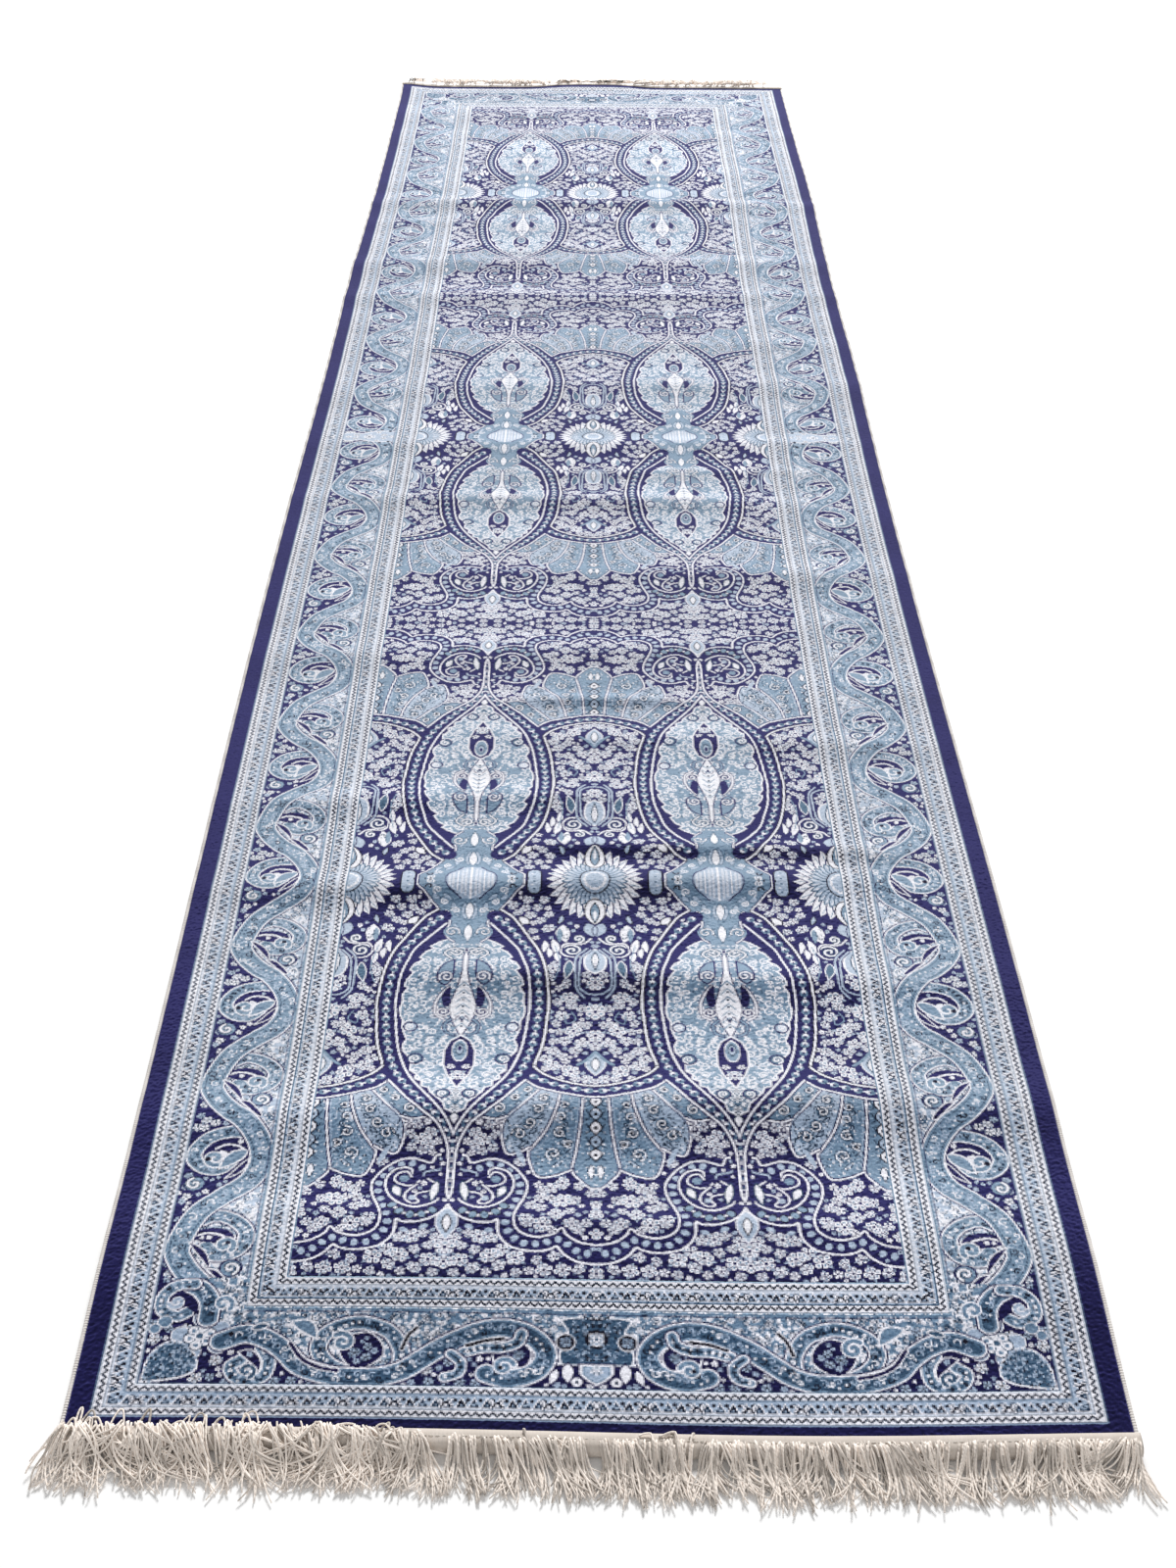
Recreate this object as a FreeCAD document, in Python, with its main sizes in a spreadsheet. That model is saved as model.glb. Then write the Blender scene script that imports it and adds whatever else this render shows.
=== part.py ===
"""A runner rug: a cut pile on a woven, latex-coated backing, with overlocked sides and a sewn-on fringe.

The rug lies flat on the XY plane, +Z up, with its length along Y and its middle at the origin.
The near end is at -Y. All sizes are in millimetres.
"""

import FreeCAD, Part  # Part needs FreeCAD before it
import os

from FreeCAD import Placement, Rotation, Vector
from Sketcher import Constraint

OUT = "parts"

# The driving dimensions, as alias, value and what it is.
SIZES = [
    ("rug_width", 800.0, "over both side bindings"),
    ("pile_length", 3500.0, "from the first row of tufts to the last"),
    ("coat_thick", 0.8, "latex under the backing"),
    ("backing_thick", 1.5, "woven backing"),
    ("pile_height", 5.7, "cut pile above the backing"),
    ("plain_band", 17.0, "width of the plain outer band of pile"),
    ("outer_guard", 31.0, "width of the outer guard stripe"),
    ("scroll_border", 73.0, "width of the main border"),
    ("inner_guard", 30.0, "width of the inner guard stripe"),
    ("binding_width", 4.0, "overlocked side edge, seen from above"),
    ("binding_height", 7.0, "overlocked side edge, from the floor up"),
    ("binding_round", 1.8, "rounding of the overlocked edge"),
    ("cord_radius", 0.9, "selvedge cord inside the side binding"),
    ("binding_wall", 1.0, "binding outside the selvedge cord"),
    ("selvedge_lip", 1.0, "backing that runs into the side binding"),
    ("end_tongue", 8.0, "flat-woven backing past the last tufts"),
    ("tape_width", 10.0, "fringe tape from the pile outwards"),
    ("tape_ply", 0.7, "one layer of the folded fringe tape"),
    ("strand_radius", 1.2, "one bundle of fringe yarns"),
    ("strand_length", 60.0, "fringe past the tape"),
    ("strand_pitch", 5.0, "from one bundle to the next"),
    ("strand_margin", 4.0, "from the rug's corner to the first bundle"),
    ("stitch_radius", 0.3, "sewing thread"),
    ("stitch_length", 3.4, "one lockstitch on the tape"),
    ("stitch_pitch", 5.0, "from one stitch to the next"),
    ("stitch_inset", 3.0, "sewing line from the pile's end"),
    ("stitch_margin", 6.0, "from the rug's corner to the first stitch"),
    ("ease", 0.1, "gap between pieces that lie inside each other"),
    ("end_gap", 0.3, "gap between the pile's end and the tape"),
]

# The side of the middle that a piece is on: near and far along Y, left and right along X.
NEAR, FAR = -1, 1
LEFT, RIGHT = -1, 1

doc = FreeCAD.newDocument("runner_rug")
sheet = doc.addObject("Spreadsheet::Sheet", "sizes")
for row, (alias, value, what) in enumerate(SIZES, start=1):
    sheet.set(f"A{row}", str(value))
    sheet.set(f"B{row}", what)
    sheet.setAlias(f"A{row}", alias)
doc.recompute()

parts = []


def size(alias):
    """The present value of a driving dimension."""
    return float(getattr(sheet, alias))


def formula(text):
    """An expression in which every driving dimension is read from the sheet."""
    for alias, _, _ in SIZES:
        text = text.replace(f"<{alias}>", f"sizes.{alias}")
    return text


def bind(thing, **settings):
    """Ties properties of thing to formulas. A double underscore stands for a dot."""
    for name, text in settings.items():
        thing.setExpression(name.replace("__", "."), formula(text))


def keep(thing, label):
    """Takes thing as the finished sub-part of that name."""
    thing.Label = label
    parts.append(thing)
    return thing


# Where each layer and band begins and ends.
HALF_WIDE = "(<rug_width> / 2 - <binding_width>)"
HALF_LONG = "(<pile_length> / 2)"
BACKING_TOP = "(<coat_thick> + <backing_thick>)"
BAND_DEPTHS = {
    "pile_plain_band": ("0", "<plain_band>"),
    "pile_outer_guard": ("<plain_band>", "<plain_band> + <outer_guard>"),
    "pile_scroll_border": (
        "<plain_band> + <outer_guard>",
        "<plain_band> + <outer_guard> + <scroll_border>",
    ),
    "pile_inner_guard": (
        "<plain_band> + <outer_guard> + <scroll_border>",
        "<plain_band> + <outer_guard> + <scroll_border> + <inner_guard>",
    ),
}
FIELD_DEPTH = BAND_DEPTHS["pile_inner_guard"][1]
CORD_X = "-1 * (<rug_width> / 2 - <binding_wall> - <cord_radius>)"
CORD_Z = "<binding_height> / 2"
TAPE_TOP = f"({BACKING_TOP} + <ease> + <tape_ply>)"


def flat_box(name, half_x, half_y, low, thick):
    """A box centred on the rug, given its half sizes, its underside and its thickness."""
    box = doc.addObject("Part::Box", name)
    bind(
        box,
        Length=f"2 * {half_x}",
        Width=f"2 * {half_y}",
        Height=thick,
        Placement__Base__x=f"-1 * {half_x}",
        Placement__Base__y=f"-1 * {half_y}",
        Placement__Base__z=low,
    )
    return box


def backing_layers():
    """The latex coat and the woven backing, whose ends run out past the pile as flat-woven tongues."""
    keep(flat_box("coat", HALF_WIDE, HALF_LONG, "0", "<coat_thick>"), "latex_back_coat")
    keep(
        flat_box(
            "backing",
            f"({HALF_WIDE} + <selvedge_lip>)",
            f"({HALF_LONG} + <end_tongue>)",
            "<coat_thick>",
            "<backing_thick>",
        ),
        "woven_backing",
    )


def band_side(name, outer, inner, along, across, turn):
    """One mitred strip of a band. along and across are the pile's half sizes with and across the strip."""
    strip = doc.addObject("Part::Wedge", name)
    bind(
        strip,
        Xmin=f"-1 * ({along} - ({outer}))",
        Xmax=f"{along} - ({outer})",
        X2min=f"-1 * ({along} - ({inner}))",
        X2max=f"{along} - ({inner})",
        Ymin=f"-1 * ({across} - ({outer}))",
        Ymax=f"-1 * ({across} - ({inner}))",
        Zmin=BACKING_TOP,
        Z2min=BACKING_TOP,
        Zmax=f"{BACKING_TOP} + <pile_height>",
        Z2max=f"{BACKING_TOP} + <pile_height>",
    )
    strip.Placement = Placement(Vector(), Rotation(Vector(0, 0, 1), turn))
    return strip


def pile_bands():
    """The tufts, grouped by the stripe of the pattern that they make.

    Each band has four strips, mitred where they meet.
    """
    for label, (outer, inner) in BAND_DEPTHS.items():
        sides = []
        for turn in (0, 90, 180, 270):
            along, across = (HALF_WIDE, HALF_LONG) if turn % 180 == 0 else (HALF_LONG, HALF_WIDE)
            sides.append(band_side(f"{label}_{turn}", outer, inner, along, across, turn))
        band = doc.addObject("Part::Compound", f"{label}_all")
        band.Links = sides
        keep(band, label)
    field = flat_box(
        "field",
        f"({HALF_WIDE} - ({FIELD_DEPTH}))",
        f"({HALF_LONG} - ({FIELD_DEPTH}))",
        BACKING_TOP,
        "<pile_height>",
    )
    keep(field, "pile_field")


def own_plane(body, role):
    """One of the body's own origin planes or axes."""
    return [feature for feature in body.Origin.OriginFeatures if feature.Role == role][0]


def sketch_on(body, name, plane, offset=None):
    """An empty sketch on one of the body's own planes, moved along the plane's normal by offset."""
    sketch = body.newObject("Sketcher::SketchObject", name)
    sketch.AttachmentSupport = [(own_plane(body, plane), "")]
    sketch.MapMode = "FlatFace"
    if offset:
        bind(sketch, AttachmentOffset__Base__z=offset)
    return sketch


def dimension(sketch, kind, ends, text):
    """A sketch dimension that follows a formula."""
    number = sketch.addConstraint(Constraint(kind, *ends, 1.0))
    sketch.setExpression(f"Constraints[{number}]", formula(text))


def rectangle(sketch, low_u, low_v, wide, high):
    """Draws a rectangle from its lowest corner and its two sides. low_u is never above zero."""
    corners = [Vector(-2, 1, 0), Vector(-1, 1, 0), Vector(-1, 2, 0), Vector(-2, 2, 0)]
    for start, end in zip(corners, corners[1:] + corners[:1]):
        sketch.addGeometry(Part.LineSegment(start, end))
    for edge in range(4):
        sketch.addConstraint(Constraint("Coincident", edge, 2, (edge + 1) % 4, 1))
        sketch.addConstraint(Constraint("Vertical" if edge % 2 else "Horizontal", edge))
    dimension(sketch, "DistanceX", (0, 1, -1, 1), f"-1 * ({low_u})")
    dimension(sketch, "DistanceX", (0, 1, 0, 2), wide)
    dimension(sketch, "DistanceY", (1, 1, 1, 2), high)
    if low_v == "0":
        sketch.addConstraint(Constraint("PointOnObject", 0, 1, -1))
    else:
        dimension(sketch, "DistanceY", (-1, 1, 0, 1), low_v)
    return sketch


def circle(sketch, centre_u, centre_v, radius):
    """Draws a circle from its centre and radius. centre_u is below zero."""
    sketch.addGeometry(Part.Circle(Vector(-1, 1, 0), Vector(0, 0, 1), 1))
    dimension(sketch, "DistanceX", (0, 3, -1, 1), f"-1 * ({centre_u})")
    dimension(sketch, "DistanceY", (-1, 1, 0, 3), centre_v)
    dimension(sketch, "Radius", (0,), radius)
    return sketch


def pad(body, sketch, length, both_ways):
    """Makes a solid of a sketch."""
    feature = body.newObject("PartDesign::Pad", "pad")
    feature.Profile = sketch
    feature.SideType = "Symmetric" if both_ways else "One side"
    bind(feature, Length=length)
    return feature


def cut_through(body, sketch, name):
    """Cuts a sketch through the whole solid, both ways, and makes sure that it took something away."""
    doc.recompute()
    before = body.Shape.Volume
    feature = body.newObject("PartDesign::Pocket", name)
    feature.Profile = sketch
    feature.SideType = "Symmetric"
    feature.Type = "ThroughAll"
    doc.recompute()
    if not body.Shape.Volume < before:
        raise RuntimeError(f"{name} cuts nothing")


def repeat_along_x(body, feature, count, pitch):
    """Repeats a feature along X as separate solids."""
    doc.recompute()
    pattern = body.newObject("PartDesign::LinearPattern", "row")
    pattern.Originals = [feature]
    pattern.Direction = (own_plane(body, "X_Axis"), [""])
    bind(pattern, Occurrences=count, Length=f"(({count}) - 1) * {pitch}")
    body.Tip = pattern


def turned(body, side):
    """Puts a body that is drawn on the negative side on the side that is asked for."""
    half_turn = 180 if side > 0 else 0
    body.Placement = Placement(Vector(), Rotation(Vector(0, 0, 1), half_turn))
    return body


def side_cord(side, label):
    """The selvedge cord that stiffens one long edge, inside its binding."""
    body = doc.addObject("PartDesign::Body", label)
    section = circle(sketch_on(body, "section", "XZ_Plane"), CORD_X, CORD_Z, "<cord_radius>")
    pad(body, section, "<pile_length>", both_ways=True)
    keep(turned(body, side), label)


def side_binding(side, label):
    """The overlocked yarn round one long edge, round the selvedge cord and the backing's lip."""
    body = doc.addObject("PartDesign::Body", label)
    section = rectangle(
        sketch_on(body, "section", "XZ_Plane"),
        "-<rug_width> / 2",
        "0",
        "<binding_width>",
        "<binding_height>",
    )
    solid = pad(body, section, "<pile_length>", both_ways=True)
    doc.recompute()
    outside = -size("rug_width") / 2
    outer_edges = [
        f"Edge{number}"
        for number, edge in enumerate(solid.Shape.Edges, start=1)
        if all(abs(vertex.X - outside) < size("ease") for vertex in edge.Vertexes)
        and edge.Length > size("pile_length") / 2
    ]
    rounding = body.newObject("PartDesign::Fillet", "rounding")
    rounding.Base = (solid, outer_edges)
    bind(rounding, Radius="<binding_round>")
    channel = circle(
        sketch_on(body, "channel_section", "XZ_Plane"), CORD_X, CORD_Z, "<cord_radius> + <ease>"
    )
    cut_through(body, channel, "cord_channel")
    slot = rectangle(
        sketch_on(body, "slot_section", "XZ_Plane"),
        f"-1 * ({HALF_WIDE} + <selvedge_lip> + <ease>)",
        "<coat_thick> - <ease>",
        "2 * <selvedge_lip>",
        "<backing_thick> + 2 * <ease>",
    )
    cut_through(body, slot, "backing_slot")
    keep(turned(body, side), label)


def fringe_tape(side, label):
    """The heading tape of one fringe, folded over the backing's flat-woven tongue."""
    body = doc.addObject("PartDesign::Body", label)
    section = rectangle(
        sketch_on(body, "section", "YZ_Plane"),
        f"-1 * ({HALF_LONG} + <tape_width>)",
        "0",
        "<tape_width> - <end_gap>",
        TAPE_TOP,
    )
    pad(body, section, "<rug_width>", both_ways=True)
    slot = rectangle(
        sketch_on(body, "fold_section", "YZ_Plane"),
        f"-1 * ({HALF_LONG} + <end_tongue> + <ease>)",
        "<coat_thick> - <ease>",
        "<end_tongue> + 2 * <ease>",
        "<backing_thick> + 2 * <ease>",
    )
    cut_through(body, slot, "fold")
    keep(turned(body, side), label)


def fringe_strands(side, label):
    """The bundles of yarn that hang from one tape, laid straight out on the floor."""
    body = doc.addObject("PartDesign::Body", label)
    body.AllowCompound = True
    count = "floor((<rug_width> - 2 * <strand_margin>) / <strand_pitch>) + 1"
    first_x = f"-(({count}) - 1) * <strand_pitch> / 2"
    section = sketch_on(body, "section", "XZ_Plane", offset=f"{HALF_LONG} + <tape_width>")
    circle(section, first_x, "<strand_radius>", "<strand_radius>")
    bundle = pad(body, section, "<strand_length>", both_ways=False)
    repeat_along_x(body, bundle, count, "<strand_pitch>")
    keep(turned(body, side), label)


def tape_stitches(side, label):
    """The row of lockstitches that holds one tape, each stitch a short run of thread on the tape."""
    body = doc.addObject("PartDesign::Body", label)
    body.AllowCompound = True
    count = "floor((<rug_width> - 2 * <stitch_margin>) / <stitch_pitch>) + 1"
    section = sketch_on(
        body, "section", "YZ_Plane", offset=f"-(({count}) - 1) * <stitch_pitch> / 2"
    )
    thread = circle(
        section,
        f"-1 * ({HALF_LONG} + <stitch_inset>)",
        f"{TAPE_TOP} + <stitch_radius>",
        "<stitch_radius>",
    )
    stitch = pad(body, thread, "<stitch_length>", both_ways=True)
    repeat_along_x(body, stitch, count, "<stitch_pitch>")
    keep(turned(body, side), label)


backing_layers()
pile_bands()
for side, name in ((LEFT, "left"), (RIGHT, "right")):
    side_cord(side, f"{name}_selvedge_cord")
    side_binding(side, f"{name}_edge_binding")
for side, name in ((NEAR, "near"), (FAR, "far")):
    fringe_tape(side, f"{name}_fringe_tape")
    fringe_strands(side, f"{name}_fringe_strands")
    tape_stitches(side, f"{name}_tape_stitches")
doc.recompute()

for thing in doc.Objects:
    if "Invalid" in thing.State or "Error" in thing.State:
        raise RuntimeError(f"{thing.Label} failed: {thing.State}")

os.makedirs(OUT, exist_ok=True)
for part in parts:
    shape = part.Shape
    if shape.isNull() or not shape.isValid() or not shape.Solids:
        raise RuntimeError(f"{part.Label} has no valid solid")
    shape.exportStep(os.path.join(OUT, f"{part.Label}.step"))
    box = shape.BoundBox
    print(
        f"{part.Label}: {len(shape.Solids)} solids, {shape.Volume / 1000:.1f} cm3, "
        f"x {box.XMin:.1f} to {box.XMax:.1f}, y {box.YMin:.1f} to {box.YMax:.1f}, "
        f"z {box.ZMin:.2f} to {box.ZMax:.2f}"
    )
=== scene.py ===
"""Weaves a patterned runner rug: its pile, backing, serged sides, sewn tapes and cotton fringe."""

import math

import bpy
import numpy as np
from bpy.props import FloatProperty, FloatVectorProperty, IntProperty, PointerProperty
from mathutils import Matrix, Vector


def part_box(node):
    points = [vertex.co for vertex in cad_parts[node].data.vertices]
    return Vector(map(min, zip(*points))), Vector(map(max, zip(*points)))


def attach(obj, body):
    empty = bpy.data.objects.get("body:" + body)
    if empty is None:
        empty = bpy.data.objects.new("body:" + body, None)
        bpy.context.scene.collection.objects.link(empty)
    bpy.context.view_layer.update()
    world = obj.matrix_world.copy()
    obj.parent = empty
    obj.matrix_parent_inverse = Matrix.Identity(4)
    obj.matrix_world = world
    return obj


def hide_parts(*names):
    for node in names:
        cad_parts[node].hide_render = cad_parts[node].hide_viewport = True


bl_info = {
    "name": "Runner Rug",
    "version": (1, 0, 0),
    "blender": (4, 5, 0),
    "location": "View3D > Sidebar > Runner Rug",
    "description": "Weaves a patterned runner rug with serged sides and a cotton fringe",
    "category": "Mesh",
}

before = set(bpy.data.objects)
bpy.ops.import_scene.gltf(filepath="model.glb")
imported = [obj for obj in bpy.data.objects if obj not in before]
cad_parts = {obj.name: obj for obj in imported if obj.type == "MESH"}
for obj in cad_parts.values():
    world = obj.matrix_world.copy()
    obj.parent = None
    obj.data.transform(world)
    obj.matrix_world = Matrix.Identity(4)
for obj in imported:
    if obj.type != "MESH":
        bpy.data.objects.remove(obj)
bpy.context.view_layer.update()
MM = 0.001
PILE_LOW, PILE_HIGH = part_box("pile_plain_band")
HALF_WIDE = PILE_HIGH.x / MM
HALF_LONG = PILE_HIGH.y / MM
PILE_FOOT = PILE_LOW.z / MM
PILE_TOP = PILE_HIGH.z / MM


def box_mm(node):
    """The low and high corners of a CAD piece's box, in mm."""
    return tuple(tuple(v / MM for v in corner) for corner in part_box(node))


# How far each band of pile reaches from the rug's middle, along x and along y, in mm.
FIELD, INNER_GUARD, SCROLL, OUTER_GUARD = (
    box_mm("pile_" + band)[1][:2] for band in ("field", "inner_guard", "scroll_border", "outer_guard"))


def linear(code):
    """A colour written as sRGB hex, as the four linear numbers a shader takes."""
    parts = [int(code[k:k + 2], 16) / 255 for k in (0, 2, 4)]
    return tuple(v / 12.92 if v <= 0.04045 else ((v + 0.055) / 1.055) ** 2.4 for v in parts) + (1.0,)


def colour(name, note, code):
    """A colour that the user can change, given as sRGB hex."""
    return FloatVectorProperty(name=name, description=note, subtype="COLOR", size=4, min=0, max=1,
                               default=linear(code))


def length(name, note, default):
    """A length in metres, given in millimetres."""
    return FloatProperty(name=name, description=note, default=default * MM, min=0.0001, unit="LENGTH",
                         precision=4)


class RunnerYarns(bpy.types.PropertyGroup):
    """The dyed yarns of the rug."""
    navy: colour("Navy", "Ground of the field and the plain band", "272659")
    ink: colour("Ink", "Darkest drawing lines", "1f1d33")
    steel: colour("Steel blue", "Deep blue of leaves and petals", "30465f")
    mid: colour("Mid blue", "Blue of the ribbons and guard stripes", "526c85")
    soft: colour("Soft blue", "Lighter blue of the medallions", "8097ae")
    pale: colour("Pale blue", "Lightest blue", "b0bed1")
    ivory: colour("Ivory", "Flowers and fine lines", "eaeaf1")
    cotton: colour("Cotton", "Fringe and tapes", "fdf2e8")
    serging: colour("Serging yarn", "Binding of the long sides", "ece7e3")
    backing: colour("Backing", "Woven backing cloth", "c9c0ae")


class RunnerSizes(bpy.types.PropertyGroup):
    """Sizes that a maker would change."""
    knot: length("Knot", "Spacing of the knots", 1.25)
    tuft: length("Tuft unevenness", "How unevenly the pile is sheared", 0.22)
    ridge: FloatProperty(name="Ripples", description="Share of the full height of the ripples",
                         default=1.0, min=0, max=1.5)
    strand: length("Strand", "Thickness of a fringe strand", 1.6)
    strands: IntProperty(name="Strands", description="Fringe strands at the near end; the far end has half",
                         default=1350, min=10, max=4000)
    fringe: length("Fringe", "Length of the fringe beyond the tape", 46)


# Ripples across the rug: middle y, height, half-breadth, middle x, reach along x and slant, in mm.
RIPPLES = (
    (-1578, 7.8, 78, 0, 430, 0.0),
    (-1532, 1.6, 15, -40, 260, -0.03),
    (-1395, 9.3, 40, 20, 340, 0.03),
    (-1210, 6.4, 28, 60, 260, -0.04),
    (-1066, 8.4, 25, -30, 310, 0.03),
    (-1000, 5.4, 17, 120, 200, -0.03),
    (-905, 5.0, 24, -160, 200, 0.05),
    (-790, 4.4, 26, 120, 220, -0.05),
    (-712, 4.4, 13, 10, 110, 0.0),
    (-600, 4.6, 30, -60, 300, 0.05),
    (-410, 5.2, 28, 60, 320, 0.0),
    (-205, 7.0, 26, -30, 330, -0.02),
    (-118, 3.2, 16, 100, 230, 0.04),
    (-25, 6.4, 26, 20, 330, 0.02),
    (178, 7.0, 36, 60, 330, 0.03),
    (345, 3.4, 34, 0, 380, 0.0),
    (540, 7.0, 31, -20, 420, 0.01),
    (694, 7.6, 34, -40, 420, 0.02),
    (905, 3.2, 30, -40, 380, 0.02),
    (996, 9.0, 30, 20, 420, -0.01),
    (1180, 3.4, 50, 0, 380, 0.0),
    (1410, 4.8, 38, 0, 380, 0.0),
    (1560, 3.6, 38, 0, 380, 0.0),
    (1742, 6.0, 20, 0, 100, 0.0),
)
# Where the long sides swell out of true: side, middle y, breadth along y, outward shift, in mm.
SWELLS = ((-1, -420, 900, 11), (-1, 640, 330, 5), (1, -1300, 620, 7), (1, 1050, 300, 4), (1, 250, 260, 3))
# The far left corner curls up: its height and breadth, in mm.
CURL, CURL_BREADTH = 6.0, 45.0
# The near end bows outwards: how far, its reach along y, its middle x and its reach along x, in mm.
BOW, BOW_LONG, BOW_MIDDLE, BOW_WIDE = -7.0, 260.0, 160, 230.0
TALLEST = 17.9      # nothing on the laid rug stands higher than this, in mm


def lift(x, y):
    """How high the rug stands off the floor at a place, in mm."""
    z = np.zeros(np.broadcast(x, y).shape)
    for y0, high, half, x0, reach, slant in RIPPLES:
        across = np.exp(-((x - x0) / reach) ** 4)
        z = z + high * across * np.exp(-((y - y0 - slant * x) / half) ** 2)
    corner = np.exp(-((x + HALF_WIDE) ** 2 + (y - HALF_LONG) ** 2) / CURL_BREADTH ** 2)
    return z * bpy.context.scene.runner_sizes.ridge + CURL * corner


def lay(points):
    """Lays flat points (in mm) on the floor as the rug lies: swollen sides, ripples, bowed end."""
    p = np.array(points, float)
    x, y = p[..., 0], p[..., 1]
    shift = np.zeros_like(x)
    for side, y0, reach, out in SWELLS:
        part = np.clip(side * x / HALF_WIDE, 0, None)
        shift = shift + side * out * part * np.exp(-((y - y0) / reach) ** 2)
    bow = BOW * np.exp(-((y + HALF_LONG) / BOW_LONG) ** 2) * np.exp(-((x - BOW_MIDDLE) / BOW_WIDE) ** 2)
    high = np.minimum(p[..., 2] + lift(x, y), TALLEST)
    return np.stack([x + shift, y + bow, high], axis=-1) * MM


def mesh_from(name, verts, sizes, corners):
    """A mesh from arrays: corner points in metres, the number of corners of each face, and the corners."""
    mesh = bpy.data.meshes.new(name)
    mesh.vertices.add(len(verts))
    mesh.vertices.foreach_set("co", np.ascontiguousarray(verts, np.float32).ravel())
    mesh.loops.add(len(corners))
    mesh.loops.foreach_set("vertex_index", np.ascontiguousarray(corners, np.int32))
    mesh.polygons.add(len(sizes))
    starts = np.concatenate([[0], np.cumsum(sizes)[:-1]]).astype(np.int32)
    mesh.polygons.foreach_set("loop_start", starts)
    mesh.update(calc_edges=True)
    if mesh.validate():
        raise RuntimeError(f"{name}: the mesh had faults")
    return mesh


def piece(name, mesh, material, slot, *nodes):
    """Puts a mesh in the scene as a piece of the rug that stands for CAD nodes."""
    obj = bpy.data.objects.new(name, mesh)
    bpy.context.scene.collection.objects.link(obj)
    mesh.materials.append(material)
    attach(obj, "root")
    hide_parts(*nodes)
    return obj


def laid_piece(name, shape, material, slot, node):
    """Lays a shape (points in mm, face sizes and corners) on the floor as a piece of the rug."""
    points, sizes, corners = shape
    return piece(name, mesh_from(name, lay(points), sizes, corners), material, slot, node)


def tubes(rings):
    """Closed tubes from rings of points shaped (tube, ring, point, 3): points, face sizes and corners."""
    many, count, around, _ = rings.shape
    grid = np.arange(many * count * around).reshape(many, count, around)
    ahead = np.roll(grid, -1, axis=2)
    quads = np.stack([grid[:, :-1], ahead[:, :-1], ahead[:, 1:], grid[:, 1:]], axis=-1).reshape(-1, 4)
    caps = np.concatenate([grid[:, 0, ::-1], grid[:, -1]])
    sizes = np.concatenate([np.full(len(quads), 4), np.full(len(caps), around)])
    return rings.reshape(-1, 3), sizes, np.concatenate([quads.ravel(), caps.ravel()])


def round_rings(paths, radius, around=6):
    """Rings of points round each path; paths are shaped (tube, point, 3) in mm."""
    ahead = np.gradient(paths, axis=1)
    ahead /= np.linalg.norm(ahead, axis=-1, keepdims=True) + 1e-9
    up = np.array([0.02, 0.03, 1.0])
    side = np.cross(ahead, up)
    side /= np.linalg.norm(side, axis=-1, keepdims=True) + 1e-9
    top = np.cross(side, ahead)
    turn = np.linspace(0, 2 * math.pi, around, endpoint=False)
    spread = side[:, :, None] * np.cos(turn)[:, None] + top[:, :, None] * np.sin(turn)[:, None]
    return paths[:, :, None] + spread * np.asarray(radius)[..., None, None]


# ---------------------------------------------------------------- the weaver's cartoons

CELL_DRAWN = 513.0      # length the field cell is drawn at; it is woven a little longer
AXIS = 122.5            # the line through a medallion's middle, from the rosette's line
GUARD_REPEAT = 38.7     # one repeat of a guard stripe
EDGE = 348              # the scroll border's outer edge, from the rug's middle line
SIDE_TURN = 201.0       # one turn of the scroll along the sides
SIDE_TURNS = range(-1, 9)
CORNER_START = 1600.0   # where the end's drawing takes over from the side's
FINE = 2.4              # cartoon squares to a millimetre

NAVY, INK, STEEL, MID, SOFT, PALE, IVORY = range(7)


def smooth(points, closed=False, step=1.2):
    """A rounded line through the points (Catmull-Rom), as an array of close points."""
    p = np.asarray(points, float)
    if len(p) < 3:
        return p
    if closed:
        p = np.vstack([p[-1], p, p[0], p[1]])
    else:
        p = np.vstack([2 * p[0] - p[1], p, 2 * p[-1] - p[-2]])
    out = []
    for a, b, c, d in zip(p[:-3], p[1:-2], p[2:-1], p[3:]):
        n = max(2, int(np.hypot(*(c - b)) / step) + 1)
        t = np.linspace(0, 1, n, endpoint=False)[:, None]
        out.append(0.5 * (2 * b + (c - a) * t + (2 * a - 5 * b + 4 * c - d) * t ** 2
                          + (3 * b - a - 3 * c + d) * t ** 3))
    out.append(p[-2][None])
    return np.vstack(out)


def along(path, pitch, start=0.0):
    """Points every pitch millimetres along a path, each with its heading."""
    steps = np.hypot(*np.diff(path, axis=0).T)
    run = np.concatenate([[0], np.cumsum(steps)])
    at = np.arange(start, run[-1], pitch)
    x = np.interp(at, run, path[:, 0])
    y = np.interp(at, run, path[:, 1])
    ahead = at + 0.5
    dx = np.interp(ahead, run, path[:, 0]) - x
    dy = np.interp(ahead, run, path[:, 1]) - y
    return x, y, np.arctan2(dy, dx)


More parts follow.
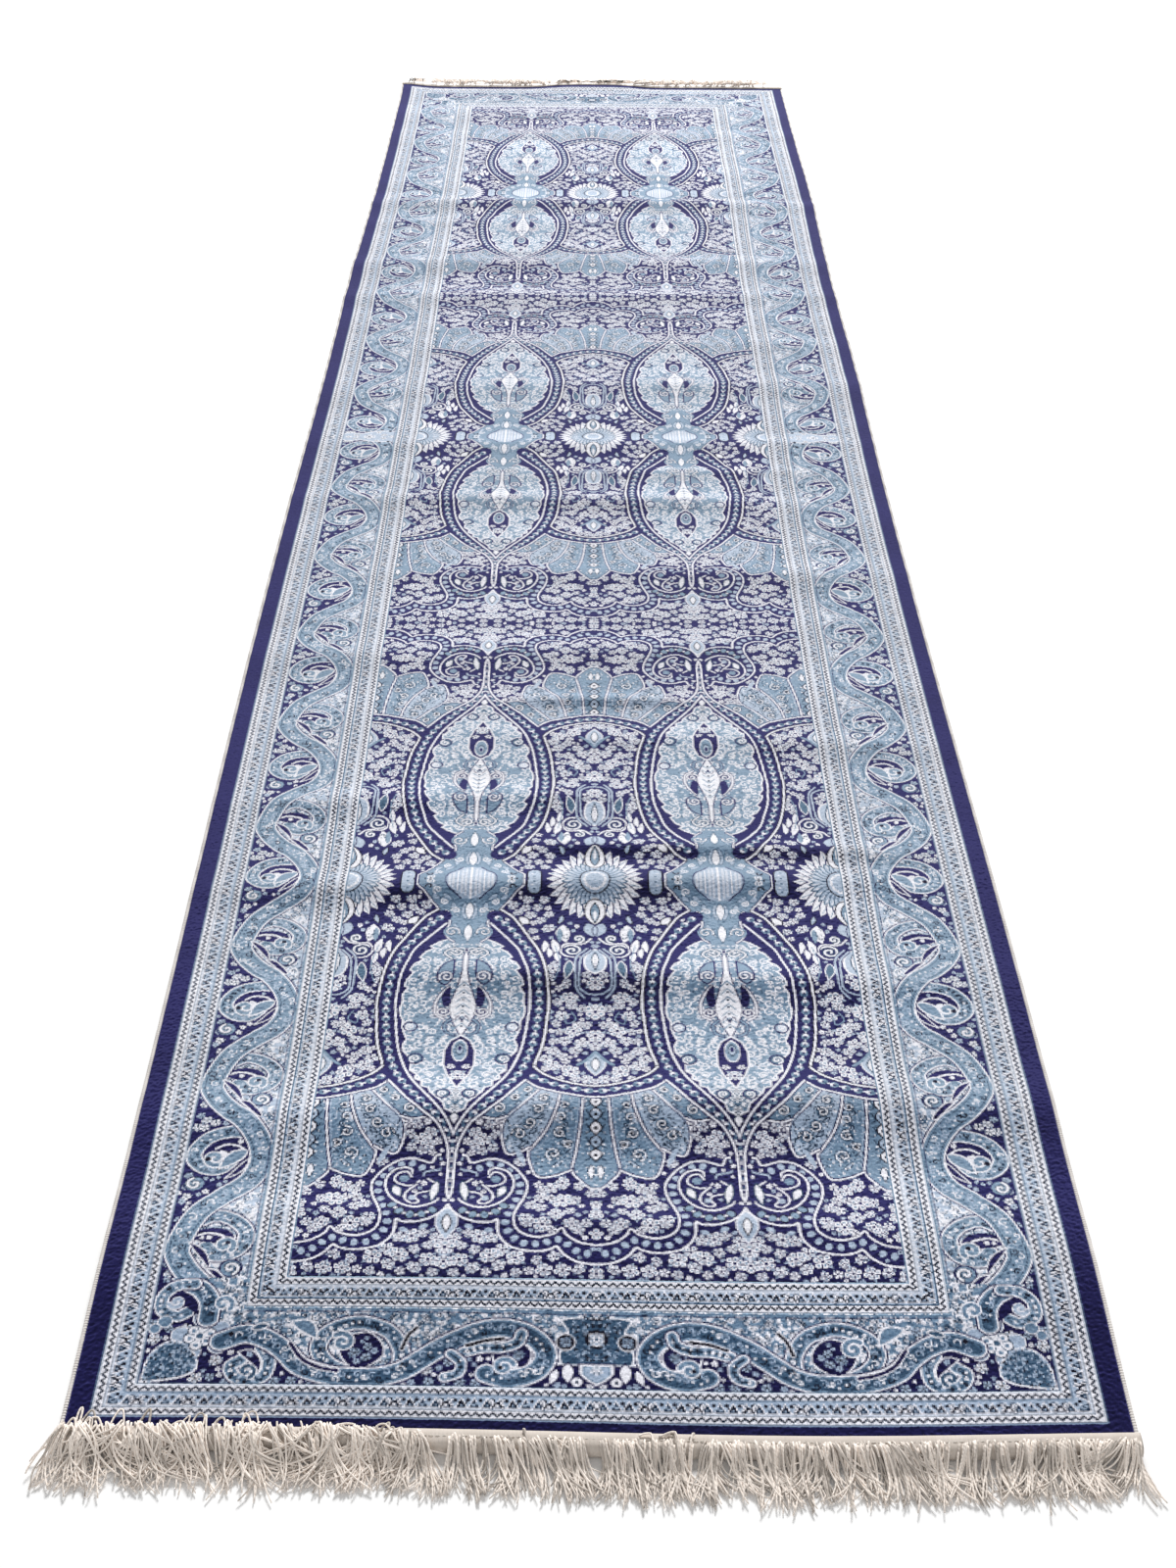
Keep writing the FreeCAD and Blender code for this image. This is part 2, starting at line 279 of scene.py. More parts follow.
class Cartoon:
    """The weaver's squared drawing: one yarn number to each fine square, drawn in millimetres."""

    def __init__(self, x0, y0, x1, y1, ground):
        self.x0, self.y0 = x0, y0
        self.wide = int(round((x1 - x0) * FINE))
        self.long = int(round((y1 - y0) * FINE))
        self.yarn = np.full((self.long, self.wide), ground, np.uint8)

    def patch(self, xs, ys, room):
        """The squares around some points: slices, and the squares' centres in millimetres."""
        c0 = max(0, int((min(xs) - room - self.x0) * FINE))
        c1 = min(self.wide, int((max(xs) + room - self.x0) * FINE) + 2)
        r0 = max(0, int((min(ys) - room - self.y0) * FINE))
        r1 = min(self.long, int((max(ys) + room - self.y0) * FINE) + 2)
        if c1 <= c0 or r1 <= r0:
            return None
        x = self.x0 + (np.arange(c0, c1) + 0.5) / FINE
        y = self.y0 + (np.arange(r0, r1) + 0.5) / FINE
        return (slice(r0, r1), slice(c0, c1)), x[None, :], y[:, None]

    def mask(self, points, rounded=True):
        """The squares inside a closed outline."""
        p = smooth(points, True) if rounded else np.asarray(points, float)
        toggled = np.zeros((self.long, self.wide + 1), np.uint8)
        q = (p - (self.x0, self.y0)) * FINE
        for (ax, ay), (bx, by) in zip(q, np.roll(q, -1, 0)):
            if ay > by:
                ax, ay, bx, by = bx, by, ax, ay
            r0, r1 = max(0, math.ceil(ay - 0.5)), min(self.long, math.ceil(by - 0.5))
            if r1 <= r0:
                continue
            rows = np.arange(r0, r1)
            cols = ax + (rows + 0.5 - ay) * (bx - ax) / (by - ay)
            cols = np.clip(np.ceil(cols - 0.5), 0, self.wide).astype(int)
            toggled[rows, cols] ^= 1
        return np.bitwise_xor.accumulate(toggled[:, :-1], axis=1).astype(bool)

    def fill(self, points, yarn, edge=None, width=1.4, rounded=True):
        """Fills an outline, and draws its edge in another yarn."""
        self.yarn[self.mask(points, rounded)] = yarn
        if edge is not None:
            self.line(list(points) + [points[0]], width, edge, rounded=rounded)

    def line(self, points, width, yarn, edge=None, rounded=True, rim=1.0):
        """A line through the points, with rim mm of another yarn on either side."""
        p = smooth(points) if rounded else np.asarray(points, float)
        if edge is not None:
            self.line(p, width + 2 * rim, edge, rounded=False)
        for a, b in zip(p[:-1], p[1:]):
            got = self.patch((a[0], b[0]), (a[1], b[1]), width / 2)
            if got is None:
                continue
            area, x, y = got
            d = b - a
            t = np.clip(((x - a[0]) * d[0] + (y - a[1]) * d[1]) / max(d @ d, 1e-9), 0, 1)
            near = (x - a[0] - t * d[0]) ** 2 + (y - a[1] - t * d[1]) ** 2 <= width ** 2 / 4
            self.yarn[area][near] = yarn

    def disc(self, x0, y0, r, yarn, edge=None, tall=1.0, turn=0.0, rim=1.0):
        """A round or tall spot, with rim mm of another yarn about it."""
        if edge is not None:
            self.disc(x0, y0, r + rim, edge, None, tall, turn)
        got = self.patch((x0,), (y0,), r * max(1, tall))
        if got is None:
            return
        area, x, y = got
        u = (x - x0) * math.cos(turn) + (y - y0) * math.sin(turn)
        v = (y - y0) * math.cos(turn) - (x - x0) * math.sin(turn)
        self.yarn[area][u ** 2 + (v / tall) ** 2 <= r ** 2] = yarn

    def leaf(self, a, b, half, yarn, edge=None, bend=0.0, width=1.2):
        """A pointed leaf from a to b; bend bows it to one side."""
        a, b = np.array(a, float), np.array(b, float)
        d = b - a
        n = np.array([-d[1], d[0]]) / max(np.hypot(*d), 1e-9)
        t = np.linspace(0, 1, 13)[:, None]
        spine = a + d * t + n * bend * np.sin(np.pi * t)
        wing = n * half * np.sin(np.pi * t ** 0.85)
        outline = np.vstack([spine + wing, (spine - wing)[::-1][1:-1]])
        self.fill(outline, yarn, edge, width, rounded=False)

    def flower(self, x, y, r, petal=IVORY, heart=NAVY, petals=5, turn=0.3, rim=None, core=0.22):
        """A small open flower with uneven petals, a dark heart and a leaf or two behind it."""
        spokes = [turn + math.pi * k / petals for k in range(2 * petals)]
        reach = [0.58 + 0.09 * ((7 * k + int(3 * x + y)) % 3) for k in range(petals)]
        if r > 3.8:
            for a in (spokes[1], spokes[petals | 1]):
                self.leaf((x, y), (x + 1.42 * r * math.cos(a), y + 1.42 * r * math.sin(a)), 0.27 * r,
                          PALE if petal == IVORY else SOFT)
        for yarn, more in ((rim, 1.0), (petal, 0.0)):
            if yarn is None:
                continue
            for a, far in zip(spokes[::2], reach):
                self.disc(x + far * r * math.cos(a), y + far * r * math.sin(a), 0.37 * r + more, yarn)
            self.disc(x, y, 0.5 * r, yarn)
        if r > 4:
            for a, far in zip(spokes[::2], reach):
                self.disc(x + far * r * math.cos(a), y + far * r * math.sin(a), 0.15 * r,
                          SOFT if petal == IVORY else MID)
        if r > 3.4:
            for a in spokes[1::2]:
                self.line([(x + 0.3 * r * math.cos(a), y + 0.3 * r * math.sin(a)),
                           (x + 0.95 * r * math.cos(a), y + 0.95 * r * math.sin(a))], 0.95, heart)
            self.disc(x, y, 0.34 * r, petal)
        self.disc(x, y, core * r, heart)

    def spiral(self, x, y, r, turns, start, hand, width, yarn, edge=None, inner=0.16, rim=0.9):
        """A curl that winds in from radius r; hand is 1 or -1."""
        t = np.linspace(0, 1, int(26 * turns) + 6)
        rad = r * (1 - t) + r * inner * t
        a = start + hand * 2 * math.pi * turns * t
        self.line(np.stack([x + rad * np.cos(a), y + rad * np.sin(a)], 1), width, yarn, edge,
                  rounded=False, rim=rim)

    def beads(self, points, pitch, r, yarn, ring=None, start=0.0, tall=1.0):
        """A chain of spots every pitch mm along a rounded line."""
        x, y, a = along(smooth(points), pitch, start)
        for bx, by, ba in zip(x, y, a):
            if ring is not None:
                self.disc(bx, by, r + 1.3, ring, None, tall, ba)
            self.disc(bx, by, r, yarn, None, tall, ba)

    def scatter(self, ground, box, gap, sizes, seed, yarns=(IVORY,), heart=NAVY, room=1.0,
                petals=(5, 6), tries=1200):
        """Small flowers dropped wherever the ground is still bare."""
        rng = np.random.default_rng(seed)
        placed = []
        x0, y0, x1, y1 = box
        for _ in range(tries):
            x, y = rng.uniform(x0, x1), rng.uniform(y0, y1)
            r = rng.uniform(*sizes)
            k, n, turn = rng.integers(len(yarns)), rng.integers(*petals), rng.uniform(0, 6)
            if any((x - px) ** 2 + (y - py) ** 2 < (gap + r + pr) ** 2 for px, py, pr in placed):
                continue
            got = self.patch((x,), (y,), r + room)
            if got is None:
                continue
            area, gx, gy = got
            near = (gx - x) ** 2 + (gy - y) ** 2 <= (r + room) ** 2
            if not near.any() or (self.yarn[area][near] != ground).mean() > 0.02:
                continue
            placed.append((x, y, r))
            self.flower(x, y, r, yarns[k], heart, int(n), turn)

    def sprinkle(self, where, chance, size, yarn, seed):
        """Loose knots of another yarn over a masked area."""
        rng = np.random.default_rng(seed)
        rows, cols = np.nonzero(where)
        if len(rows) == 0:
            return
        n = int(len(rows) * chance / (FINE * size) ** 2)
        for k in rng.integers(len(rows), size=n):
            self.disc(self.x0 + (cols[k] + 0.5) / FINE, self.y0 + (rows[k] + 0.5) / FINE,
                      size / 2 * rng.uniform(0.7, 1.3), yarn)


def draw_medallion(c):
    """The medallion's toothed body, with rows of mirrored curls inside it."""
    body = [(104, 86), (96, 90), (88, 97), (92, 100), (84, 106), (79, 116), (83, 119), (75, 126),
            (71, 135), (75, 138), (69, 148), (67, 156), (71, 158), (66, 167), (67, 176), (65, 186),
            (66, 196), (69, 203), (69, 212), (71, 220), (74, 228), (71, 236), (72, 244), (78, 252),
            (80, 262), (80, 270), (86, 276), (85, 283), (92, 287), (91, 294), (98, 297), (100, 304),
            (106, 311), (112, 318), (114, 326), (121, 330), (122, 336), (126, 345), (140, 330),
            (140, 86)]
    inside = c.mask(body, rounded=False)
    c.yarn[inside] = SOFT
    rows = np.arange(c.long)[:, None] / FINE
    c.yarn[inside & (rows > 306)] = MID
    row_pitch, row_offset = 11.5, 5.2
    for k in range(21):
        v = 92 + row_pitch * k
        for n, x in enumerate((118, 107, 96, 85, 75)):
            w = v + row_offset * (n % 2)
            c.spiral(x, w, 5.2, 1.1, 1.2 + 1.9 * ((k + n) % 3), 1 if (k + n) % 2 else -1, 1.5,
                     IVORY if (k + n) % 4 else SOFT)
            c.disc(x - 5, w + 3.4, 1.2, (MID, STEEL, IVORY)[(k + 2 * n) % 3])
            c.leaf((x - 2, w + 3), (x - 8, w + 8), 1.5, SOFT if v < 222 else PALE)
    c.yarn[~inside] = NAVY
    c.sprinkle(inside & (rows < 222), 0.14, 2.0, IVORY, 3)
    c.sprinkle(inside & (rows > 222), 0.20, 2.2, IVORY, 4)
    c.line(body[:-2], 1.9, IVORY, rounded=False)
    for x, v in ((82, 154), (80, 166), (79, 183), (94, 121), (90, 213), (94, 228), (106, 229), (111, 286),
                 (109, 296), (116, 300), (86, 146), (98, 132)):
        c.flower(x, v, 2.8, IVORY, STEEL)


def draw_neck(c):
    """The neck that joins two medallions, with its leaves, curls and six-sided cartouche."""
    neck = [(70, -3), (70, 9), (76, 16), (80, 22), (86, 31), (91, 38), (92, 46), (98, 52),
            (104, 57), (103, 66), (101, 76), (104, 84), (109, 89), (130, 89), (130, -3)]
    c.fill(neck, SOFT, rounded=False)
    c.line(neck[:-2], 1.6, IVORY, NAVY)
    for a, b, h in (((118, 30), (120, 58), 3), ((106, 30), (113, 52), 3.5), ((96, 20), (106, 28), 3),
                    ((78, 6), (92, 12), 3), ((86, 20), (94, 28), 3), ((108, 60), (118, 82), 3)):
        c.leaf(a, b, h, PALE, MID, 1.5, 0.9)
    for x, v, r, s, h in ((100, 46, 6, 1.2, 1), (107, 74, 7.5, 0.4, -1), (90, 16, 4.5, 2.0, 1),
                          (82, 4, 4, 0.6, -1), (109, 42, 4.5, 3.2, 1), (98, 30, 4, 4.2, -1)):
        c.disc(x, v, r + 0.8, SOFT)
        c.spiral(x, v, r, 1.3, s, h, 1.5, IVORY, STEEL if r > 5 else None, rim=0.7)
    hexagon = [(98, -4), (97.5, 4), (101, 13), (107, 19), (113, 26), (130, 27), (130, -4)]
    c.fill(hexagon, PALE, rounded=False)
    for k in range(6):
        c.line([(101 + 4.2 * k, -4), (101 + 4.2 * k, 10 + 3.2 * k)], 1.3, IVORY, rounded=False)
    c.line(hexagon[:5], 1.5, NAVY)
    for x, v in ((79, -1), (80, 10)):
        c.line([(x - 2, v + 2), (x, v - 1), (x + 3.5, v), (x + 3, v + 3)], 1.8, INK)
    c.leaf((AXIS, 30), (AXIS, 56), 4.5, IVORY, MID)
    c.leaf((AXIS, 62), (AXIS, 90), 4.5, IVORY, MID)


def draw_stem(c):
    """The stem up the middle of the medallion, its side curls and the dark almond above it."""
    c.fill([(AXIS, 100), (120, 116), (119.5, 140), (116, 158), (110, 182), (112, 198), (117, 212),
            (124, 224), (130, 200), (130, 100)], IVORY, NAVY, 1.3)
    for k in range(7):
        c.line([(AXIS, 152 + 9 * k), (116, 159 + 9 * k)], 1.3, SOFT, rounded=False)
        c.disc(AXIS, 156 + 9 * k, 1.3, STEEL)
    c.line([(AXIS, 204), (119, 196), (116, 202)], 1.0, NAVY)
    c.fill([(112, 120), (104, 126), (98, 136), (97, 148), (104, 155), (110, 150), (112, 140)],
           SOFT, NAVY, 1.6)
    c.spiral(105.5, 145, 7, 1.4, 2.6, 1, 1.8, IVORY, NAVY)
    c.line([(109, 118), (102, 108), (110, 100), (118, 104)], 1.8, IVORY, STEEL)
    c.spiral(114, 106, 6, 1.2, 3.0, -1, 1.8, IVORY, STEEL)
    c.line([(108, 158), (101, 168), (97, 180), (98, 194), (105, 200)], 2.2, IVORY, NAVY)
    c.fill([(110, 158), (103, 166), (103, 178), (106, 184), (110, 179)], NAVY)
    c.spiral(104.5, 190, 6.5, 1.4, 0.4, 1, 1.8, IVORY, NAVY)
    c.line([(112, 201), (107, 208), (109, 218), (116, 222)], 2.4, SOFT, NAVY)
    mandorla = [(AXIS, 222), (113, 230), (108.5, 243), (108.5, 262), (113, 277), (119, 290),
                (AXIS, 298), (136, 260)]
    c.fill(mandorla, NAVY, IVORY, 1.8, rounded=False)
    c.disc(AXIS, 243, 6.2, SOFT, IVORY, 2.1)
    c.disc(AXIS, 241, 3, PALE, STEEL, 2.0)
    c.disc(AXIS, 240, 1.6, NAVY, None, 2.0)
    c.flower(115.5, 265, 3.6)
    c.flower(AXIS, 278, 7.2, petals=6)
    for x, v, r in ((76, 211, 5.2), (83, 254, 6.0), (111, 306, 5.4)):
        c.disc(x, v, r + 1.6, NAVY)
        c.disc(x, v, r, PALE if v < 220 else MID)
        c.spiral(x, v, r - 0.8, 1.3, 1.8, 1, 1.8, IVORY)
    for v in (302, 313, 325):
        c.flower(AXIS, v, 4.2, IVORY, STEEL)
    c.leaf((AXIS, 330), (AXIS, 343), 4, IVORY, STEEL)


def draw_neck_flowers(c):
    """Flowers beside the neck, and the lamp between neck and rosette."""
    for x, v, r in ((50, 27, 4.8), (66, 27, 5), (56, 37, 4.6), (68, 38, 4.6), (80, 34, 5.2), (45, 47, 4.8),
                    (63, 48, 5.4), (75, 44, 4.6), (53, 56, 5), (45, 68, 6), (60, 72, 4.4), (70, 57, 5),
                    (57, 83, 3.6), (46, 38, 3.4), (60, 60, 3.6)):
        c.flower(x, v, r)
    c.leaf((64, 62), (74, 50), 4.5, IVORY, INK)
    c.fill([(54, -20), (53, 0), (54, 16), (60, 20), (66, 16), (67, 4), (65, -4), (66, -20)],
           PALE, INK, 1.6)
    for k in range(5):
        c.disc(60 + (k % 2) * 2, -6 + 5 * k, 1.2, IVORY if k % 2 else MID)


def draw_rosette(c):
    """The rosette: two rings of petals about an oval heart, and the bud above it."""
    petal_angle = 11.8
    for long, half, ground, edge, vein in ((1.0, 8.4, IVORY, NAVY, SOFT), (0.66, 5.0, PALE, MID, IVORY)):
        for k in range(-1, 9):
            a = math.radians(petal_angle * k + (petal_angle / 2 if long < 1 else 0))
            tip = (50 * long * math.cos(a), 57 * long * math.sin(a))
            c.leaf((9 * math.cos(a), 12 * math.sin(a)), tip, half, ground, edge, 0, 1.3)
            c.line([(0.4 * tip[0], 0.4 * tip[1]), (0.9 * tip[0], 0.9 * tip[1])], 1.0, vein)
    c.fill([(-2, 25), (6, 28), (10, 38), (9, 50), (0, 62), (-9, 50)], IVORY, INK, 1.4)
    c.leaf((0, 30), (0, 60), 4.6, SOFT, INK)
    c.leaf((0, 40), (0, 56), 1.8, IVORY)
    for r, yarn in ((15.5, INK), (14, PALE), (11.5, IVORY), (9, PALE)):
        c.disc(0, 0, r, yarn, None, 1.28)
    c.sprinkle(c.mask([(0, -18), (12, -14), (13, 0), (12, 14), (0, 18), (-5, 0)]), 0.12, 1.4, SOFT, 8)
    for x in (8, -8):
        c.leaf((x, 60), (0, 82), 7, PALE, NAVY, 0)


def draw_arch_flowers(c):
    """The palmettes, stems and flowers that fill the ground under the arch."""
    c.leaf((31, 62), (27, 91), 7.5, IVORY, NAVY, -2)
    c.leaf((34, 68), (34, 90), 3, SOFT)
    c.sprinkle(c.mask([(26, 66), (34, 74), (30, 86), (24, 80)]), 0.2, 1.3, STEEL, 9)
    c.leaf((32, 48), (36, 62), 2.6, PALE, INK, 1)
    c.spiral(22, 103, 9.5, 1.5, -0.6, -1, 2.2, IVORY, STEEL)
    c.spiral(16, 84, 6, 1.3, 1.5, 1, 2.0, IVORY, STEEL)
    c.line([(4, 84), (12, 92), (28, 92), (33, 104), (26, 114), (12, 113), (6, 104)], 2.0, IVORY, NAVY)
    c.fill([(-8, 100), (4, 103), (10, 118), (9, 134), (3, 141), (-8, 141)], PALE, IVORY, 2.0)
    c.leaf((0, 106), (0, 138), 3.4, IVORY, STEEL)
    c.beads([(0, 108), (0, 136)], 4, 0.8, NAVY)
    c.line([(4, 102), (13, 116), (15, 140), (15, 158), (8, 166), (0, 168)], 2.0, PALE, NAVY)
    c.line([(8, 100), (18, 116), (18.5, 150), (17, 162), (10, 172)], 2.0, PALE, NAVY)
    c.leaf((24, 122), (28, 150), 4.4, MID, IVORY, 1)
    for x, v, r in ((8, 144, 4.4), (0, 154, 8), (40, 136, 6.5), (37, 127, 4.5), (42, 148, 4.2),
                    (27, 155, 5), (34, 160, 3.8), (24, 172, 7.5), (35, 177, 5), (22, 182, 5),
                    (0, 190, 10), (12, 186, 5), (31, 195, 6.5), (16, 208, 5), (20, 216, 8),
                    (33, 217, 4.2), (0, 222, 8), (28, 229, 6),
                    (38, 230, 4.5), (12, 232, 6.5), (18, 242, 5.5), (38, 243, 6), (30, 250, 5),
                    (44, 254, 6), (38, 263, 7), (27, 257, 4), (22, 272, 8.5), (28, 266, 4), (45, 268, 4),
                    (0, 236, 6), (8, 284, 6), (18, 284, 5), (0, 288, 5), (36, 206, 4.5), (8, 208, 5),
                    (32, 282, 4), (46, 240, 3), (40, 216, 3)):
        c.flower(x, v, r, petals=6 if r > 7 else 5, turn=v)
    for a, b, h in (((41, 84), (37, 112), 4.4), ((48, 86), (50, 108), 3.6), ((38, 106), (36, 126), 3.8),
                    ((45, 98), (44, 118), 3.4)):
        c.leaf(a, b, h, IVORY, NAVY, 1.5)
    c.leaf((0, 246), (0, 278), 9, PALE, IVORY)
    c.leaf((0, 252), (0, 272), 4, IVORY, STEEL)
    c.line([(0, 244), (9, 256), (16, 262)], 3.0, SOFT)
    c.line([(38, 96), (35, 112), (33, 130), (38, 150)], 1.2, SOFT)
    c.line([(22, 190), (18, 200), (26, 206), (28, 196)], 1.3, SOFT)
    c.scatter(NAVY, (0, 60, 43, 292), 0.7, (1.9, 3.0), 11, (IVORY, PALE))


def draw_fan(c):
    """The fan of petals beyond the arch, each petal with its own filling."""
    fan = [(0, 308), (20, 306), (40, 300), (56, 292), (63, 286), (70, 297), (80, 312), (90, 323),
           (101, 334), (92, 337), (80, 337), (81, 352), (79, 364), (75, 373), (64, 370), (57, 366),
           (57, 378), (54, 390), (48, 399), (34, 397), (20, 390), (14, 402), (5, 412), (-5, 412),
           (-5, 308)]
    c.fill(fan, SOFT, rounded=False)
    inner = c.mask([(12, 313), (31, 308), (36, 330), (44, 350), (55, 366), (50, 396), (22, 390)])
    c.yarn[inner] = SOFT
    c.yarn[c.mask([(-3, 310), (11, 312), (16, 350), (18, 390), (6, 410), (-3, 412)])] = SOFT
    pale_petal = [(33, 303), (51, 302), (66, 322), (80, 342), (79, 362), (68, 371), (50, 356)]
    c.yarn[c.mask(pale_petal + [(40, 334)])] = PALE
    for v in (316, 330, 344, 358, 372):
        c.leaf((0, v - 6), (0, v + 8), 5, PALE if v % 4 else IVORY, INK, 0, 1.4)
        c.disc(0, v + 1, 1.6, INK)
        c.line([(8, v - 3), (5, v + 4), (9, v + 7)], 1.3, STEEL)
    c.leaf((4, 384), (4, 402), 3, IVORY, STEEL)
    for x, v, r, s in ((27, 320, 4.6, 1), (30, 334, 5.6, -1), (31, 350, 5.6, 1), (36, 372, 7.0, -1),
                       (45, 312, 5, 1), (50, 326, 5.2, -1), (57, 340, 5.6, 1), (66, 352, 6.4, -1),
                       (60, 300, 4.4, -1), (70, 312, 4.6, 1), (84, 325, 5.4, -1), (24, 362, 4.2, 1)):
        c.disc(x, v, r + 0.6, SOFT if x > 50 else MID)
        c.spiral(x, v, r, 1.3, v, s, 1.5, IVORY, STEEL, rim=0.8)
        c.disc(x, v, 1.3, INK)
        c.leaf((x - r, v + r), (x + 1, v + 2 * r), 1.6, PALE, STEEL, 1)
    c.sprinkle(c.mask(pale_petal), 0.2, 1.5, STEEL, 12)
    c.sprinkle(inner, 0.10, 1.8, PALE, 17)
    c.sprinkle(inner, 0.08, 1.6, STEEL, 18)
    c.sprinkle(c.mask(fan), 0.05, 1.6, IVORY, 13)
    for pts in ([(11, 310), (13, 340), (17, 370), (20, 391), (12, 404), (4, 412), (-4, 411)],
                [(31, 306), (34, 324), (42, 346), (54, 365), (58, 372), (54, 390), (48, 399),
                 (34, 397), (20, 390)],
                [(50, 301), (62, 318), (76, 334), (81, 345), (80, 360), (75, 373), (64, 370), (56, 365)],
                [(76, 334), (86, 337), (100, 335)]):
        c.line(pts, 1.9, IVORY, NAVY)
    for pts in ([(14, 312), (17, 345), (21, 372)], [(28, 308), (31, 328), (40, 352), (52, 370)],
                [(54, 304), (66, 321), (77, 337)]):
        c.line(pts, 0.9, PALE)


def draw_volute(c):
    """The volute: a beaded band that runs out from the medallion's foot, and the curls inside it."""
    band = [(118, 375), (110, 375), (106, 383), (98, 381), (90, 378.5), (80, 380), (70, 387), (62, 397),
            (57.5, 408), (59, 421), (64, 434), (67.5, 446), (66, 459), (58, 467), (47, 469.5), (35, 466),
            (28, 460), (24, 467), (14, 474.5), (0, 478), (-4, 478)]
    lower = [(124, 430), (118, 442), (109, 450), (98, 454), (86, 454), (81, 452), (80, 465), (75, 475),
             (66, 482), (50, 485), (38, 483), (32, 480), (26, 488), (15, 495.5), (0, 498), (-4, 498)]
    c.fill(band + lower[::-1], NAVY, rounded=False)
    c.beads([(100, 390), (84, 384), (68, 398), (63, 415), (70, 438), (74, 458), (62, 475), (46, 477),
             (30, 472), (16, 484), (0, 488)], 9.6, 2.9, PALE, None, 2, 1.3)
    inner_chain = [(112, 440), (98, 447), (84, 443), (76, 434)]
    c.beads(inner_chain, 10, 3.0, SOFT, INK, 2, 1.3)
    c.beads(inner_chain, 10, 1.5, IVORY, None, 7)
    c.line([(119, 395), (119.5, 410), (115, 425), (107, 433), (95, 437), (82, 432), (73, 422),
            (69, 410), (70, 400), (76, 391.5), (85, 389), (90, 392), (90, 398)], 2.0, IVORY, NAVY)
    c.line([(90, 400), (86, 394), (79, 396), (76, 403), (82, 409), (92, 410), (97, 405)], 1.8, IVORY, NAVY)
    c.line([(104, 402), (110, 408), (107, 416), (98, 419), (94, 424), (98, 430), (92, 432),
            (86, 426), (87, 418), (95, 409)], 1.8, IVORY, NAVY)
    c.disc(84, 402, 4, SOFT)
    c.disc(92, 425, 3, PALE)
    c.leaf((76, 410), (82, 424), 4, IVORY, STEEL)
    c.leaf((112, 404), (108, 430), 3.6, IVORY, STEEL)
    c.line([(113, 378), (116, 384), (113, 391), (102, 394), (100, 398)], 2.0, PALE, NAVY)
    for edge in (band, lower):
        c.line(edge, 2.1, IVORY, NAVY, rim=1.2)


def draw_frame(c):
    """The beaded frame about the medallion, and the beaded arch that leaves it."""
    outer = [(92, 40), (86, 45), (80, 51), (72, 65), (63, 83), (55, 100), (50, 118), (46, 140), (44, 160),
             (43, 180), (44.5, 200), (46, 220), (49, 240), (53, 255), (55, 264)]
    arch_in = [(55, 264), (51, 270), (43, 278), (30, 286), (15, 292), (0, 295), (-4, 295)]
    arch_out = [(62, 285), (57, 291), (50, 297), (35, 303), (15, 309), (0, 311), (-4, 311)]
    past = [(62, 285), (70, 297), (80, 312), (90, 323), (100, 333), (108, 341), (114, 352), (118, 364),
            (119.5, 376), (120, 395), (120, 412), (122, 424), (126, 430)]
    hem = [(101, 61), (92, 73), (82, 87), (73, 102), (68, 120), (63, 140), (61, 160), (60.5, 180),
           (62, 200), (64, 220), (67, 240), (71, 255), (76, 270), (83, 285), (92, 300), (102, 315),
           (112, 330), (119, 343), (124, 356)]
    mid = [(97, 50), (88, 60), (80, 71), (72, 86), (64, 101), (59, 119), (54.5, 140), (52.5, 160),
           (51.8, 180), (53, 200), (55, 220), (58, 240), (62, 256), (67, 272), (76, 290), (86, 306),
           (96, 320), (106, 332), (114, 345), (120, 360), (AXIS, 376), (AXIS, 400), (AXIS, 424)]
    c.line(mid, 17, NAVY)
    c.line([(62, 272), (52, 281), (34, 293), (15, 300), (0, 303), (-5, 303)], 14, NAVY)
    swag = [(58, 277), (48, 285), (34, 293), (15, 300), (0, 303)]
    for chain, pitch in ((mid, 11.2), (swag, 10.8)):
        for start, r, yarn in ((4.4, 3.9, SOFT), (2.6, 2.3, IVORY), (6.4, 2.0, MID), (9.3, 1.3, SOFT),
                               (4.4, 1.2, NAVY), (9.9, 1.0, IVORY)):
            c.beads(chain, pitch, r, yarn, None, start)
    for pts in (outer, hem, arch_in, arch_out, past):
        c.line(pts, 2.2, IVORY, INK if pts is outer or pts is arch_in else NAVY, rim=1.1)


